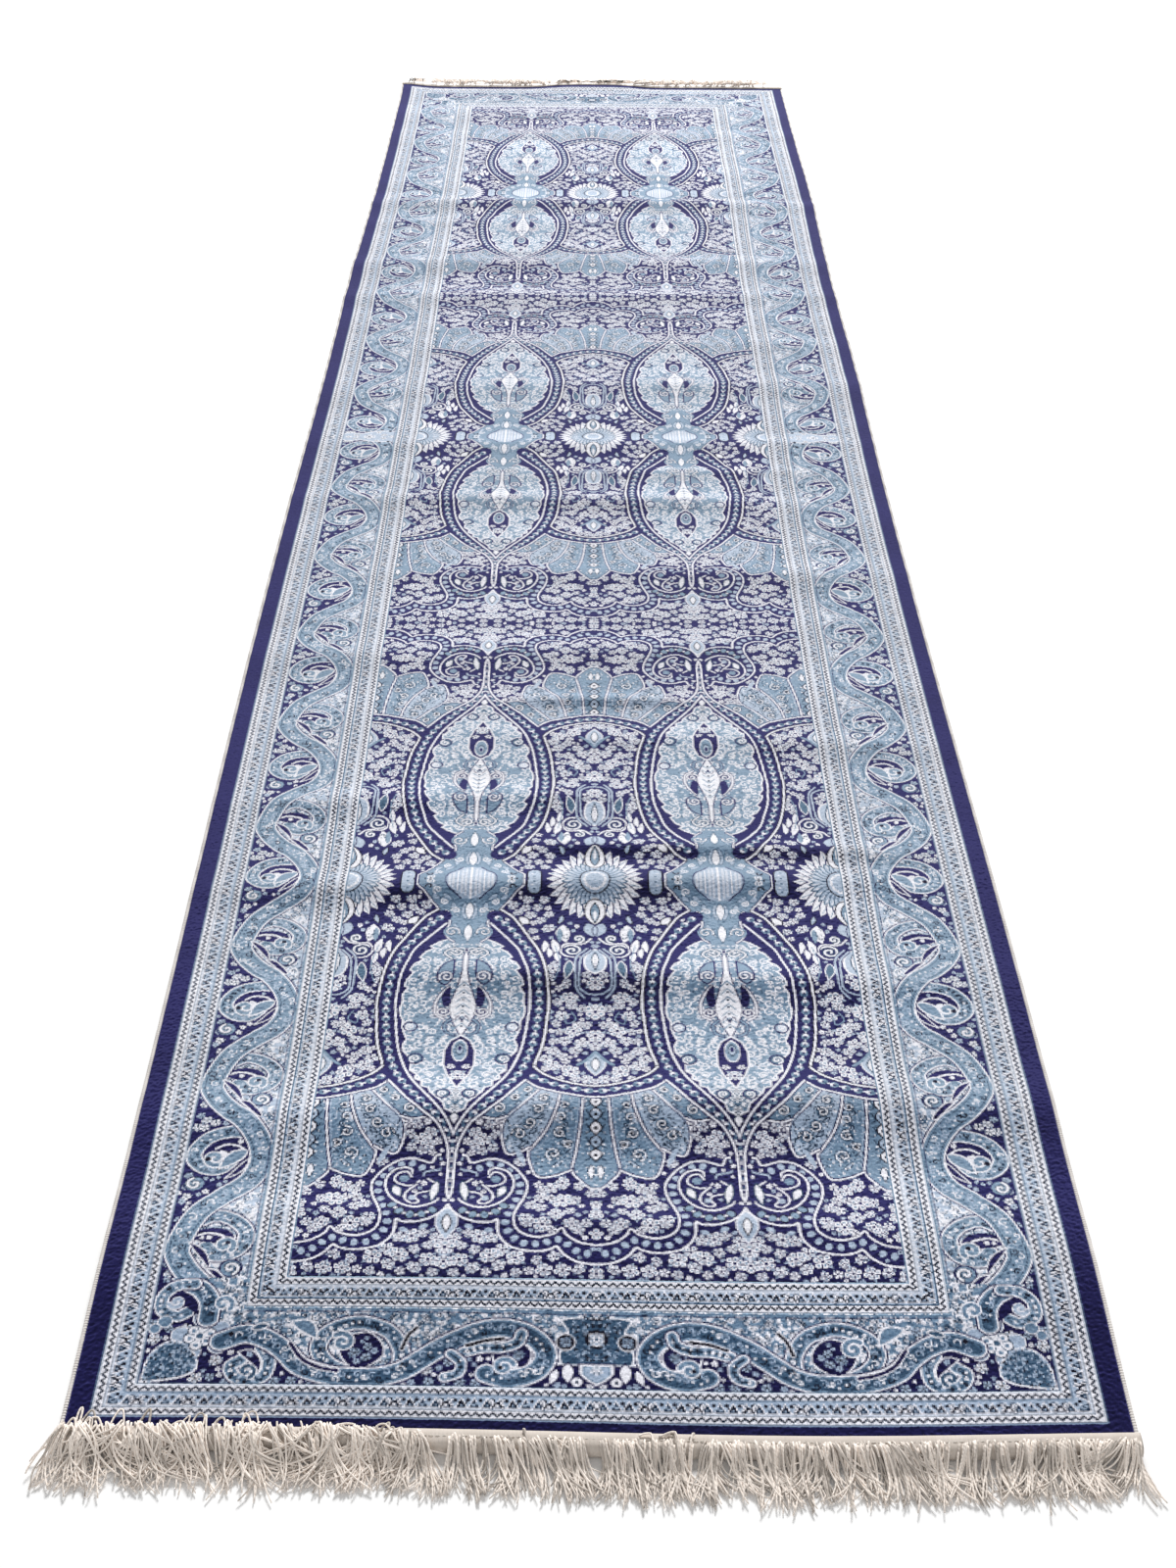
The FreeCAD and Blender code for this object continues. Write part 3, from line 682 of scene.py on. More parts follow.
def draw_volute_flowers(c):
    """The flowers about the volutes and between two repeats."""
    c.leaf((AXIS, 438), (AXIS, 474), 9, PALE, IVORY)
    c.leaf((AXIS, 446), (AXIS, 466), 3.6, IVORY, INK)
    for x, v, r in ((92, 343, 4.6), (84, 342, 4), (100, 340, 3.4), (103, 351, 6), (95, 358, 6),
                    (86, 352, 4.2), (103, 363, 5.4), (110, 360, 4), (88, 366, 4.6), (97, 370, 4.4),
                    (106, 372, 3.6), (64, 382, 5), (14, 409, 4.6), (28, 406, 6.5), (38, 412, 6),
                    (48, 408, 4), (45, 417, 4.5), (28, 427, 8.5), (17, 426, 5), (4, 418, 4.5),
                    (38, 424, 4), (46, 424, 5.5), (53, 433, 5.5), (46, 436, 5), (33, 444, 6.5),
                    (22, 440, 4.4), (0, 432, 5), (58, 449, 5.5), (57, 455, 4.6),
                    (44, 456, 8), (36, 462, 4), (20, 455, 6.5), (14, 462, 5), (0, 444, 6), (0, 466, 5.5),
                    (8, 454, 4.5), (95, 470, 7), (85, 471, 5.4), (104, 466, 4.6), (115, 472, 5.6),
                    (AXIS, 482, 8), (109, 480, 4.6), (76, 484, 6), (65, 492, 7.5), (86, 490, 7.5),
                    (98, 484, 4.6), (110, 495, 7), (AXIS, 497, 7), (99, 503, 5.5), (78, 500, 5.5),
                    (48, 494, 4.5), (34, 490, 5), (27, 504, 6.5), (42, 504, 6.5), (14, 503, 5), (0, 507, 6),
                    (64, 507, 4.6), (88, 507, 4), (114, 508, 4.4), (54, 505, 4)):
        c.flower(x, v, r, petals=6 if r > 6 else 5, turn=v)
    for a, b in (((68, 366), (60, 386)), ((108, 458), (100, 460)), ((84, 462), (92, 464))):
        c.leaf(a, b, 2.6, PALE)
    c.scatter(NAVY, (0, 312, AXIS, CELL_DRAWN), 0.7, (1.9, 3.0), 14, (IVORY, PALE, PALE))
    c.scatter(NAVY, (60, 18, 92, 60), 0.5, (1.8, 2.8), 15)


def field_cell():
    """A quarter of the field's repeat: x from the rosette's line to the medallion's, y from the row
    of rosettes to the row of flowers between two repeats."""
    c = Cartoon(0, 0, AXIS, CELL_DRAWN, NAVY)
    for draw in (draw_medallion, draw_neck, draw_stem, draw_neck_flowers, draw_rosette,
                 draw_arch_flowers, draw_fan, draw_volute, draw_frame, draw_volute_flowers):
        draw(c)
    return c


def guard_strip(width):
    """A guard stripe: x along one repeat, y inwards from its outer edge."""
    c = Cartoon(0, 0, GUARD_REPEAT, width, IVORY)
    tooth = GUARD_REPEAT / 4

    def stripes(inset, thick, yarn):
        """One straight line at this distance from either edge."""
        for at in (inset, width - inset):
            c.line([(-2, at), (41, at)], thick, yarn, rounded=False)

    stripes(0.4, 1.1, SOFT)
    for at, inwards in ((4.6, 0.6), (width - 4.6, -0.6)):
        wave = [(k * tooth / 3 - 3, at + (1.7 if k % 2 else -1.7)) for k in range(15)]
        c.line(wave, 1.5, STEEL, rounded=False)
        c.line([(p[0], p[1] + inwards) for p in wave], 1.0, INK, rounded=False)
    stripes(8.3, 0.9, MID)
    stripes(9.6, 1.2, PALE)
    c.fill([(-2, 10.3), (41, 10.3), (41, width - 10.3), (-2, width - 10.3)], PALE, rounded=False)
    for k in range(-1, 5):
        x = tooth * k
        c.fill([(x, 10.3), (x + tooth, 10.3), (x + 4.84, width - 11)], STEEL, IVORY, 1.0, rounded=False)
        c.disc(x, width - 13.2, 1.6, INK)
        c.disc(x + 4.84, 13, 1.0, PALE)
    for x, bend in ((12, 1.5), (21, -1.5)):
        c.line([(x, 11), (x + bend, 15), (x, width - 12.8)], 2.0, IVORY, STEEL, rim=0.7)
    c.line([(13, 12), (16.5, 16), (20, 12)], 1.6, INK)
    c.disc(16.5, 13, 1.3, IVORY)
    c.line([(28, 15), (30, 13), (32, 16), (34, 13), (36, 15)], 1.1, PALE)
    c.line([(1, 16), (3, 13.5), (5.5, 17), (6.5, 13)], 1.2, INK)
    return c


def scroll_ground(c, vine, seed, ground=PALE):
    """Lightens the ground on the inner side of a vine and strews it with small curls."""
    rng = np.random.default_rng(seed)
    pale = c.mask(vine, rounded=False)
    c.yarn[pale] = ground
    c.sprinkle(pale, 0.75, 2.8, IVORY, seed)
    rows, cols = np.nonzero(pale)
    for k in rng.integers(len(rows), size=int(len(rows) / FINE ** 2 / 17)):
        x, y = c.x0 + cols[k] / FINE, c.y0 + rows[k] / FINE
        c.spiral(x, y, rng.uniform(1.8, 3.2), 0.8, rng.uniform(0, 6), 1, 1.0,
                 (STEEL, IVORY, MID)[k % 3])


def vine_band(c, path, width, light, seed):
    """A broad ribbon of the scroll: blue, ivory edged, with small curls of yarn inside."""
    rng = np.random.default_rng(seed)
    for more, yarn in ((4.6, NAVY), (2.2, IVORY), (-0.8, SOFT), (-5.4, STEEL), (-6.8, light)):
        if width + more > 1.5:
            c.line(path, width + more, yarn)
    for x, y, a in zip(*along(smooth(path), 5.6, 4)):
        off = rng.uniform(-0.25, 0.25) * width
        side = rng.choice((-1, 1))
        c.spiral(x - off * math.sin(a), y + off * math.cos(a), width * rng.uniform(0.16, 0.26), 0.9,
                 rng.uniform(0, 6), side, 1.3, (IVORY, PALE, PALE, INK)[rng.integers(4)])
        c.disc(x + off * math.sin(a), y - off * math.cos(a), 1.2, (STEEL, IVORY)[rng.integers(2)])


def at(points, v):
    """Points of the side's scroll, given as distance in from its edge and distance along it."""
    return [(EDGE - a, u + v) for a, u in points]


def draw_side_turn(c, k):
    """One turn of the side's scroll: flowers, the curl on the outer side and the one opposite."""
    v = SIDE_TURN * k
    for a, u, r in ((5, 106, 3.4), (11, 115, 4), (6, 2, 3.6), (12, 8, 4.4), (20, 11, 4), (5, 16, 4.2),
                    (11, 17, 4), (29, 12, 3), (6, 128, 3.6), (5, 178, 3.8), (8, 188, 4.4), (8, 100, 4),
                    (16, 178, 4), (6, 140, 4), (5, 166, 4), (6, 74, 3.6), (14, 84, 3), (5, 88, 3.4),
                    (20, 190, 3.4)):
        c.flower(EDGE - a, u + v, r, PALE if r < 4 else IVORY, STEEL)
    # spiral on the outer side
    vine_band(c, at([(58, 24), (36, 22), (18, 28), (8, 42), (8, 55), (18, 65), (30, 66), (38, 58)], v), 12,
              SOFT, 31 + k)
    c.fill(at([(19, 44), (21, 36), (32, 30), (44, 32), (53, 41), (46, 46), (40, 54), (32, 48)], v), NAVY)
    c.line(at([(24, 42), (32, 37), (42, 38), (48, 42)], v), 2.2, IVORY)
    c.leaf(*at([(28, 44), (38, 52)], v), 2.6, IVORY)
    c.spiral(EDGE - 25, 53 + v, 9, 1.1, 2.4, -1, 4.2, SOFT, IVORY, rim=1.6)
    c.disc(EDGE - 19, 54 + v, 2.6, INK)
    c.leaf(*at([(52, 43), (30, 66)], v), 6.5, SOFT, IVORY, -2, 1.8)
    # spiral on the inner side
    vine_band(c, at([(24, 130), (36, 124), (50, 128), (62, 140), (64, 154), (56, 166), (42, 169),
                     (33, 160)], v), 12, SOFT, 51 + k)
    c.fill(at([(17, 148), (26, 140), (40, 138), (52, 144), (55, 156), (48, 160), (40, 156),
               (30, 154)], v), NAVY)
    c.line(at([(22, 147), (32, 144), (44, 147), (50, 154)], v), 2.4, IVORY)
    c.disc(EDGE - 34, 149 + v, 2.4, IVORY)
    c.spiral(EDGE - 48, 158 + v, 8, 1.1, 2.4, 1, 4.2, SOFT, IVORY, rim=1.6)
    c.disc(EDGE - 50, 155 + v, 2.2, INK)


def draw_side_eyes(c, v):
    """What lies over the vine in one turn: two round eyes and the leaves beside them."""
    for p, start in (((56, 183), 2.0), ((12, 84), 5.0)):
        x, y = EDGE - p[0], p[1] + v
        c.disc(x, y, 8, SOFT, NAVY, rim=1.6)
        c.spiral(x, y, 6.8, 1.1, start, 1, 2.4, IVORY, STEEL)
    c.leaf(*at([(54, 53), (36, 78)], v), 3.0, NAVY, IVORY, 2.5)
    c.leaf(*at([(18, 154), (40, 186)], v), 3.2, NAVY, IVORY, 3.0)
    c.fill(at([(36, 183), (46, 186), (58, 201), (55, 204)], v), NAVY, IVORY, 1.4)


def scroll_side():
    """The broad scroll along one side: x and y from the rug's middle, both taken positive."""
    c = Cartoon(275, 0, EDGE, 1640, NAVY)
    spine = [(10, -43), (16, -23), (30, -5), (44, 7), (56, 24), (63, 42), (64, 62), (56, 82), (38, 100),
             (20, 122)]
    whole = [p for k in SIDE_TURNS for p in at(spine, SIDE_TURN * k)]
    scroll_ground(c, [(274, -60)] + whole + [(274, 1700)], 21)
    for k in SIDE_TURNS:
        draw_side_turn(c, k)
    vine_band(c, whole, 19, SOFT, 71)
    for k in SIDE_TURNS:
        draw_side_eyes(c, SIDE_TURN * k)
    # the middle of the side, where the scroll turns round
    c.fill([(274, -16), (274, 16), (300, 20), (322, 12), (340, 14), (349, 8), (349, -8), (322, -12)], PALE,
           IVORY, 1.8)
    for x, y, r in ((312, 0, 8), (330, 5, 4.6), (292, 6, 5), (341, 0, 4), (300, 16, 4), (281, 0, 5)):
        for way in (1, -1):
            c.flower(x, way * y, r, IVORY, STEEL)
    for x, y in ((284, 20), (287, 33), (296, 24)):
        c.disc(x, y, 2.4, INK)
    c.scatter(NAVY, (280, 0, EDGE, 1640), 0.5, (1.8, 3.4), 72, (IVORY, PALE), STEEL, tries=5000)
    c.line([(276, 0), (276, 1640)], 1.6, SOFT, rounded=False)
    c.line([(278.4, 0), (278.4, 1640)], 0.9, NAVY, rounded=False)
    return c


def draw_end_flowers(c):
    """The flowers on the dark ground along the end and round the corner."""
    for x, y, r in ((305, 1697, 5.2), (342, 1660, 5), (318, 1650, 4.6), (292, 1680, 5), (294, 1696, 3.6),
                    (282, 1700, 3.4), (245, 1699, 4), (232, 1699, 4), (128, 1698, 4), (116, 1698, 3.6),
                    (104, 1699, 4), (345, 1645, 3.6), (332, 1650, 3.6), (340, 1600, 4), (343, 1590, 3.4),
                    (222, 1643, 5.6), (246, 1646, 4), (141, 1699, 3), (92, 1699, 4), (30, 1699, 3),
                    (206, 1699, 2), (122, 1676, 4.4), (270, 1697, 3.8), (256, 1700, 3.6), (218, 1698, 3.8),
                    (155, 1699, 3.4), (342, 1632, 3.6), (336, 1574, 3.8), (344, 1566, 3.8),
                    (114, 1680, 3.8), (130, 1688, 4.2), (230, 1690, 3.4)):
        c.flower(x, y, r, IVORY if r > 4 else PALE, INK)


def draw_corner(c):
    """The flower in the corner, its heart-shaped leaf and the side vine's last curls."""
    for x, y in ((307, 1640), (292, 1650), (322, 1656), (312, 1672), (292, 1666)):
        c.disc(x, y, 7, PALE, IVORY)
    heart = [(346, 1701), (344, 1680), (338, 1668), (328, 1662), (317, 1665), (308, 1676), (306, 1688),
             (314, 1695), (330, 1699)]
    c.fill(heart, MID, IVORY, 2.0)
    inside = c.mask(heart)
    c.sprinkle(inside, 0.45, 2.0, PALE, 25)
    c.sprinkle(inside, 0.12, 1.5, INK, 26)
    c.flower(307, 1657, 12, IVORY, MID, 6, rim=STEEL)
    # the side vine's last curls, the larger one in mid blue as painted shade, like the rest of the end
    vine_band(c, [(329, 1550), (336, 1575), (333, 1590), (324, 1604), (312, 1612), (304, 1624),
                  (303, 1640)], 15, MID, 81)
    vine_band(c, [(318, 1606), (332, 1608), (341, 1618), (340, 1632), (328, 1638), (320, 1634)],
              9, SOFT, 82)
    c.fill([(333, 1618), (324, 1617), (315, 1624), (311, 1636), (318, 1632), (324, 1626)], NAVY)
    c.spiral(330, 1624, 6, 1.1, 0.4, 1, 3, PALE, IVORY)
    c.spiral(293, 1626, 8, 1.0, 2.4, 1, 3.4, SOFT, IVORY, rim=1.4)
    for x, y, r in ((336, 1643, 5), (343, 1650, 4)):
        c.disc(x, y, r, SOFT, IVORY)


def draw_end_curls(c):
    """The two curls under the end's ribbon, and the flowers inside the larger one."""
    # The ribbons here are mid blue, as painted shade along the end.
    vine_band(c, [(258, 1668), (251, 1680), (253, 1694), (264, 1699), (275, 1696), (280, 1686),
                  (273, 1680)], 9, MID, 83)
    c.fill([(276, 1672), (266, 1670), (258, 1678), (257, 1690), (263, 1684)], NAVY, IVORY, 1.2)
    c.spiral(267, 1690, 7, 1.1, 2.0, 1, 3, MID, IVORY)
    vine_band(c, [(158, 1692), (150, 1680), (152, 1665), (162, 1651), (180, 1644), (196, 1646), (210, 1655),
                  (214, 1669), (206, 1682), (193, 1690)], 11.5, MID, 84)
    c.fill([(200, 1660), (190, 1655), (176, 1653), (166, 1662), (164, 1674), (174, 1684), (186, 1686),
            (196, 1676)], NAVY, IVORY, 1.4)
    for x, y, r in ((186, 1672, 4.6), (177, 1676, 4), (176, 1666, 3.6), (184, 1680, 3), (171, 1670, 3)):
        c.flower(x, y, r, PALE, INK)
    c.spiral(196, 1662, 8.5, 1.2, -0.8, -1, 3.6, SOFT, IVORY, rim=1.4)
    c.leaf((237, 1643), (216, 1660), 6, SOFT, IVORY, 4, 1.8)


def draw_end_leaves(c):
    """What lies over the end's ribbon: its veins, leaves and last curls."""
    c.line([(236, 1664), (226, 1678), (212, 1686), (198, 1689)], 3.0, NAVY, IVORY)
    c.disc(283, 1655, 2.4, INK)
    c.leaf((268, 1650), (254, 1646), 3, MID, IVORY)
    c.fill([(80, 1668), (66, 1662), (56, 1662), (50, 1670), (54, 1682), (66, 1684), (78, 1680)],
           NAVY, IVORY, 1.4)
    for x, y, r in ((60, 1672, 4.4), (68, 1668, 3.6)):
        c.flower(x, y, r, PALE, INK)
    # Mid-blue ribbon: painted shade, as along the rest of the end.
    vine_band(c, [(58, 1652), (61, 1660), (72, 1665), (88, 1666), (102, 1670)], 8, MID, 86)
    c.line([(72, 1657), (86, 1659), (100, 1664)], 2.6, INK, IVORY)
    c.spiral(71, 1683, 8, 1.2, 3.4, 1, 3.6, SOFT, IVORY, rim=1.4)
    c.disc(74, 1684, 2, INK)
    vine_band(c, [(112, 1672), (104, 1680), (106, 1690), (116, 1694)], 7, SOFT, 87)
    c.line([(150, 1668), (146, 1656), (140, 1648)], 2.6, INK, IVORY)


def draw_palmette(c):
    """The palmette in the middle of the end."""
    c.fill([(0, 1636), (26, 1638), (22, 1650), (28, 1668), (26, 1680), (14, 1680), (-5, 1682), (-5, 1636)],
           MID, IVORY, 1.6)
    heart = c.mask([(0, 1638), (22, 1640), (20, 1652), (24, 1668), (0, 1676)])
    c.sprinkle(heart, 0.3, 2.0, INK, 27)
    c.sprinkle(heart, 0.2, 1.6, PALE, 28)
    c.disc(0, 1656, 9, INK)
    c.flower(0, 1656, 6.4, IVORY, MID, 6)
    c.disc(24, 1659, 7, INK, IVORY)
    c.flower(24, 1659, 4.6, PALE, INK, 6)
    shield = [(-14, 1679), (14, 1679), (14, 1688), (8, 1695), (0, 1700), (-8, 1695), (-14, 1688)]
    c.fill(shield, IVORY, NAVY, 1.2, rounded=False)
    middle = 1688
    smaller = [(x * 0.72, middle + (y - middle) * 0.7) for x, y in shield]
    c.fill(smaller, PALE, SOFT, 1.0, rounded=False)
    c.flower(0, 1685, 4.6, IVORY, MID)
    c.leaf((22, 1678), (22, 1698), 5, IVORY, NAVY)
    c.leaf((30, 1684), (36, 1700), 3.6, IVORY, NAVY)
    c.disc(15, 1696, 4.2, IVORY, NAVY)
    c.disc(15, 1696, 1.4, STEEL)


def scroll_end():
    """The scroll across one end with its corner: x and y from the rug's middle, both positive."""
    c = Cartoon(0, 1560, EDGE, 1702, NAVY)
    # Painted shade: along the end the ribbons are mostly drawn in mid blue and the ground in soft blue, a
    # step darker than the soft-blue ribbons and pale ground of the sides.
    main = [(290, 1662), (272, 1655), (255, 1660), (240, 1671), (228, 1684), (210, 1692), (190, 1695),
            (165, 1694), (148, 1688), (135, 1678), (120, 1666), (105, 1657), (90, 1650), (75, 1647),
            (58, 1650), (45, 1659), (39, 1671), (44, 1684), (56, 1692), (70, 1694), (84, 1690)]
    scroll_ground(c, main[:16] + [(30, 1680), (-5, 1680), (-5, 1555), (318, 1555), (322, 1580), (316, 1600),
                                  (306, 1615), (303, 1640), (300, 1655)], 23, SOFT)
    draw_end_flowers(c)
    draw_corner(c)
    draw_end_curls(c)
    vine_band(c, main, 16, MID, 85)
    draw_end_leaves(c)
    draw_palmette(c)
    c.scatter(NAVY, (0, 1636, EDGE, 1702), 0.5, (1.6, 2.8), 73, (IVORY, PALE), STEEL, tries=1600)
    c.line([(0, 1631), (275, 1631)], 1.6, SOFT, rounded=False)
    c.line([(0, 1633.2), (275, 1633.2)], 0.9, NAVY, rounded=False)
    return c


# ---------------------------------------------------------------- materials

def add(tree, kind, settings=None, **links):
    """Adds a shader node; settings are its properties or socket values, links its input sockets."""
    node = tree.nodes.new(kind)
    for name, value in (settings or {}).items():
        if hasattr(node, name):
            setattr(node, name, value)
        else:
            node.inputs[name].default_value = value
    for name, source in links.items():
        tree.links.new(source, node.inputs[name.replace("_", " ")])
    return node


def new_material(name):
    """An empty node material with a Principled shader on its output."""
    mat = bpy.data.materials.new(name)
    mat.use_nodes = True
    tree = mat.node_tree
    tree.nodes.clear()
    out = tree.nodes.new("ShaderNodeOutputMaterial")
    skin = tree.nodes.new("ShaderNodeBsdfPrincipled")
    tree.links.new(skin.outputs["BSDF"], out.inputs["Surface"])
    return mat, tree, skin


def set_skin(skin, **values):
    """Sets values on a shader's own sockets."""
    for name, value in values.items():
        skin.inputs[name.replace("_", " ")].default_value = value


def pile_material():
    """Heat-set polyester pile, woven and sheared: matt, with a fine grain of tufts. Its colour is painted
    darker looking down on it and paler at a low angle, as the painted sheen of cut fibre ends, and drifts
    in patches of painted sheen and shade."""
    mat, tree, skin = new_material("Polyester pile, woven and sheared")
    place = add(tree, "ShaderNodeTexCoord").outputs["Object"]
    dye = add(tree, "ShaderNodeAttribute", {"attribute_name": "knot_colour"}).outputs["Color"]
    # The lie of the pile drifts over some 350 mm across the rug and 85 mm along it; the colour is painted
    # lighter and darker with it, as painted sheen and shade.
    stretch = add(tree, "ShaderNodeMapping", {"Scale": (2.2, 9.0, 1.0)}, Vector=place).outputs["Vector"]
    drift = add(tree, "ShaderNodeTexNoise", {"Scale": 1.3, "Detail": 3.0, "Roughness": 0.55},
                Vector=stretch).outputs["Fac"]
    shade = add(tree, "ShaderNodeMapRange", {"From Min": 0.3, "From Max": 0.7, "To Min": 0.86,
                                             "To Max": 1.10}, Value=drift).outputs["Result"]
    # Tufts: a real tuft is about 0.6 mm; 1.6 mm is the finest grain that still shows.
    grain = add(tree, "ShaderNodeTexNoise", {"Scale": 620.0, "Detail": 2.0, "Roughness": 0.7},
                Vector=place).outputs["Fac"]
    speck = add(tree, "ShaderNodeMapRange", {"From Min": 0.25, "From Max": 0.75, "To Min": 0.84,
                                             "To Max": 1.14}, Value=grain).outputs["Result"]
    both = add(tree, "ShaderNodeMath", {"operation": "MULTIPLY"})
    tree.links.new(shade, both.inputs[0])
    tree.links.new(speck, both.inputs[1])
    base = add(tree, "ShaderNodeVectorMath", {"operation": "SCALE"}, Scale=both.outputs["Value"])
    tree.links.new(dye, base.inputs[0])
    # Painted sheen and shade: the colour is made paler at a low angle, where the eye meets fibre ends
    # instead of their sides, and darker looking straight down on the pile.
    low = add(tree, "ShaderNodeLayerWeight", {"Blend": 0.5}).outputs["Facing"]
    painted_sheen = add(tree, "ShaderNodeMapRange", {"From Min": 0.16, "From Max": 0.38, "To Min": 1.5,
                                             "To Max": 0.88}, Value=low).outputs["Result"]
    lit = add(tree, "ShaderNodeGamma", Color=base.outputs["Vector"], Gamma=painted_sheen)
    tree.links.new(lit.outputs["Color"], skin.inputs["Base Color"])
    relief = add(tree, "ShaderNodeBump", {"Strength": 0.35, "Distance": 0.0006}, Height=grain)
    tree.links.new(relief.outputs["Normal"], skin.inputs["Normal"])
    set_skin(skin, Roughness=0.85, Specular_IOR_Level=0.07, IOR=1.5, Sheen_Weight=0.02,
             Sheen_Roughness=0.4, Sheen_Tint=(0.8, 0.85, 1.0, 1.0))
    return mat


# The wave node's scale times the thread spacing. It draws one band to about two threads, since single
# threads are too fine to show.
BANDS = math.pi / 3 / 6.2832


def yarn_material(name, shade, pitch, bump, stripe="DIAGONAL", rough=0.85, sheen=0.2, uneven=None):
    """Spun yarn or cloth: matt, with threads pitch mm apart and an uneven dye. The dye drifts over some 11
    mm, unless uneven names an attribute that holds the shade of each strand, which may carry painted shade."""
    mat, tree, skin = new_material(name)
    place = add(tree, "ShaderNodeTexCoord").outputs["Object"]
    if uneven:
        shades = add(tree, "ShaderNodeAttribute", {"attribute_name": uneven}).outputs["Fac"]
    else:
        shades = add(tree, "ShaderNodeTexNoise", {"Scale": 90.0, "Detail": 4.0, "Roughness": 0.6},
                     Vector=place).outputs["Fac"]
    wave = add(tree, "ShaderNodeTexWave", {"wave_type": "BANDS", "bands_direction": stripe,
                                           "Scale": BANDS / (pitch * MM), "Distortion": 1.2,
                                           "Detail": 2.0, "Detail Scale": 2.0},
               Vector=place).outputs["Fac"]
    # With strand shades, the darkest strands drop to 0.34 of the colour, to hold the painted shade.
    depth = 0.34 if uneven else 0.78
    warmer = (1.0, 0.98, 0.95)
    dark = tuple(v * depth * w for v, w in zip(shade[:3], warmer)) + (1.0,)
    mix = add(tree, "ShaderNodeMix", {"data_type": "RGBA"})
    tree.links.new(shades, mix.inputs[0])
    mix.inputs[6].default_value = dark
    mix.inputs[7].default_value = tuple(shade)
    tree.links.new(mix.outputs[2], skin.inputs["Base Color"])
    relief = add(tree, "ShaderNodeBump", {"Strength": bump, "Distance": 0.0004}, Height=wave)
    tree.links.new(relief.outputs["Normal"], skin.inputs["Normal"])
    set_skin(skin, Roughness=rough, Specular_IOR_Level=0.25, Sheen_Weight=sheen, Sheen_Roughness=0.5)
    return mat


# ---------------------------------------------------------------- pile

SHEARED = 0.5       # how far the middle of the sheared tufts lies below the pile's full height, in mm


def breaks(*marks, step=16):
    """Grid lines from the first mark to the last, through all of them, about step knots apart."""
    lines = []
    for a, b in zip(marks[:-1], marks[1:]):
        n = max(1, round((b - a) / step))
        lines += [a + round((b - a) * k / n) for k in range(n)]
    return lines + [marks[-1]]


class KnotGrid:
    """The rug's grid of knots, counted from its middle."""

    def __init__(self, pitch):
        self.half_i = round(HALF_WIDE / pitch)
        self.half_j = round(HALF_LONG / pitch)
        self.dx = HALF_WIDE / self.half_i
        self.dy = HALF_LONG / self.half_j
        rng = np.random.default_rng(7)
        shape = (2 * self.half_j + 1, 2 * self.half_i + 1)
        self.uneven = rng.normal(0, 1, shape)
        self.dye = rng.normal(0, 1, (shape[0] - 1, shape[1] - 1))

    def lines(self, size):
        """The grid lines that a size in mm, taken from the middle, falls on."""
        return round(size[0] / self.dx), round(size[1] / self.dy)


def ring_chunks(outer, inner):
    """The rectangles (columns, then rows) that make up a piece of pile."""
    (bi, bj), (ai, aj) = outer, inner or (0, 0)
    if not inner:
        return [(-bi, bi, -bj, bj)]
    return [(-bi, -ai, -bj, bj), (ai, bi, -bj, bj), (-ai, ai, -bj, -aj), (-ai, ai, aj, bj)]


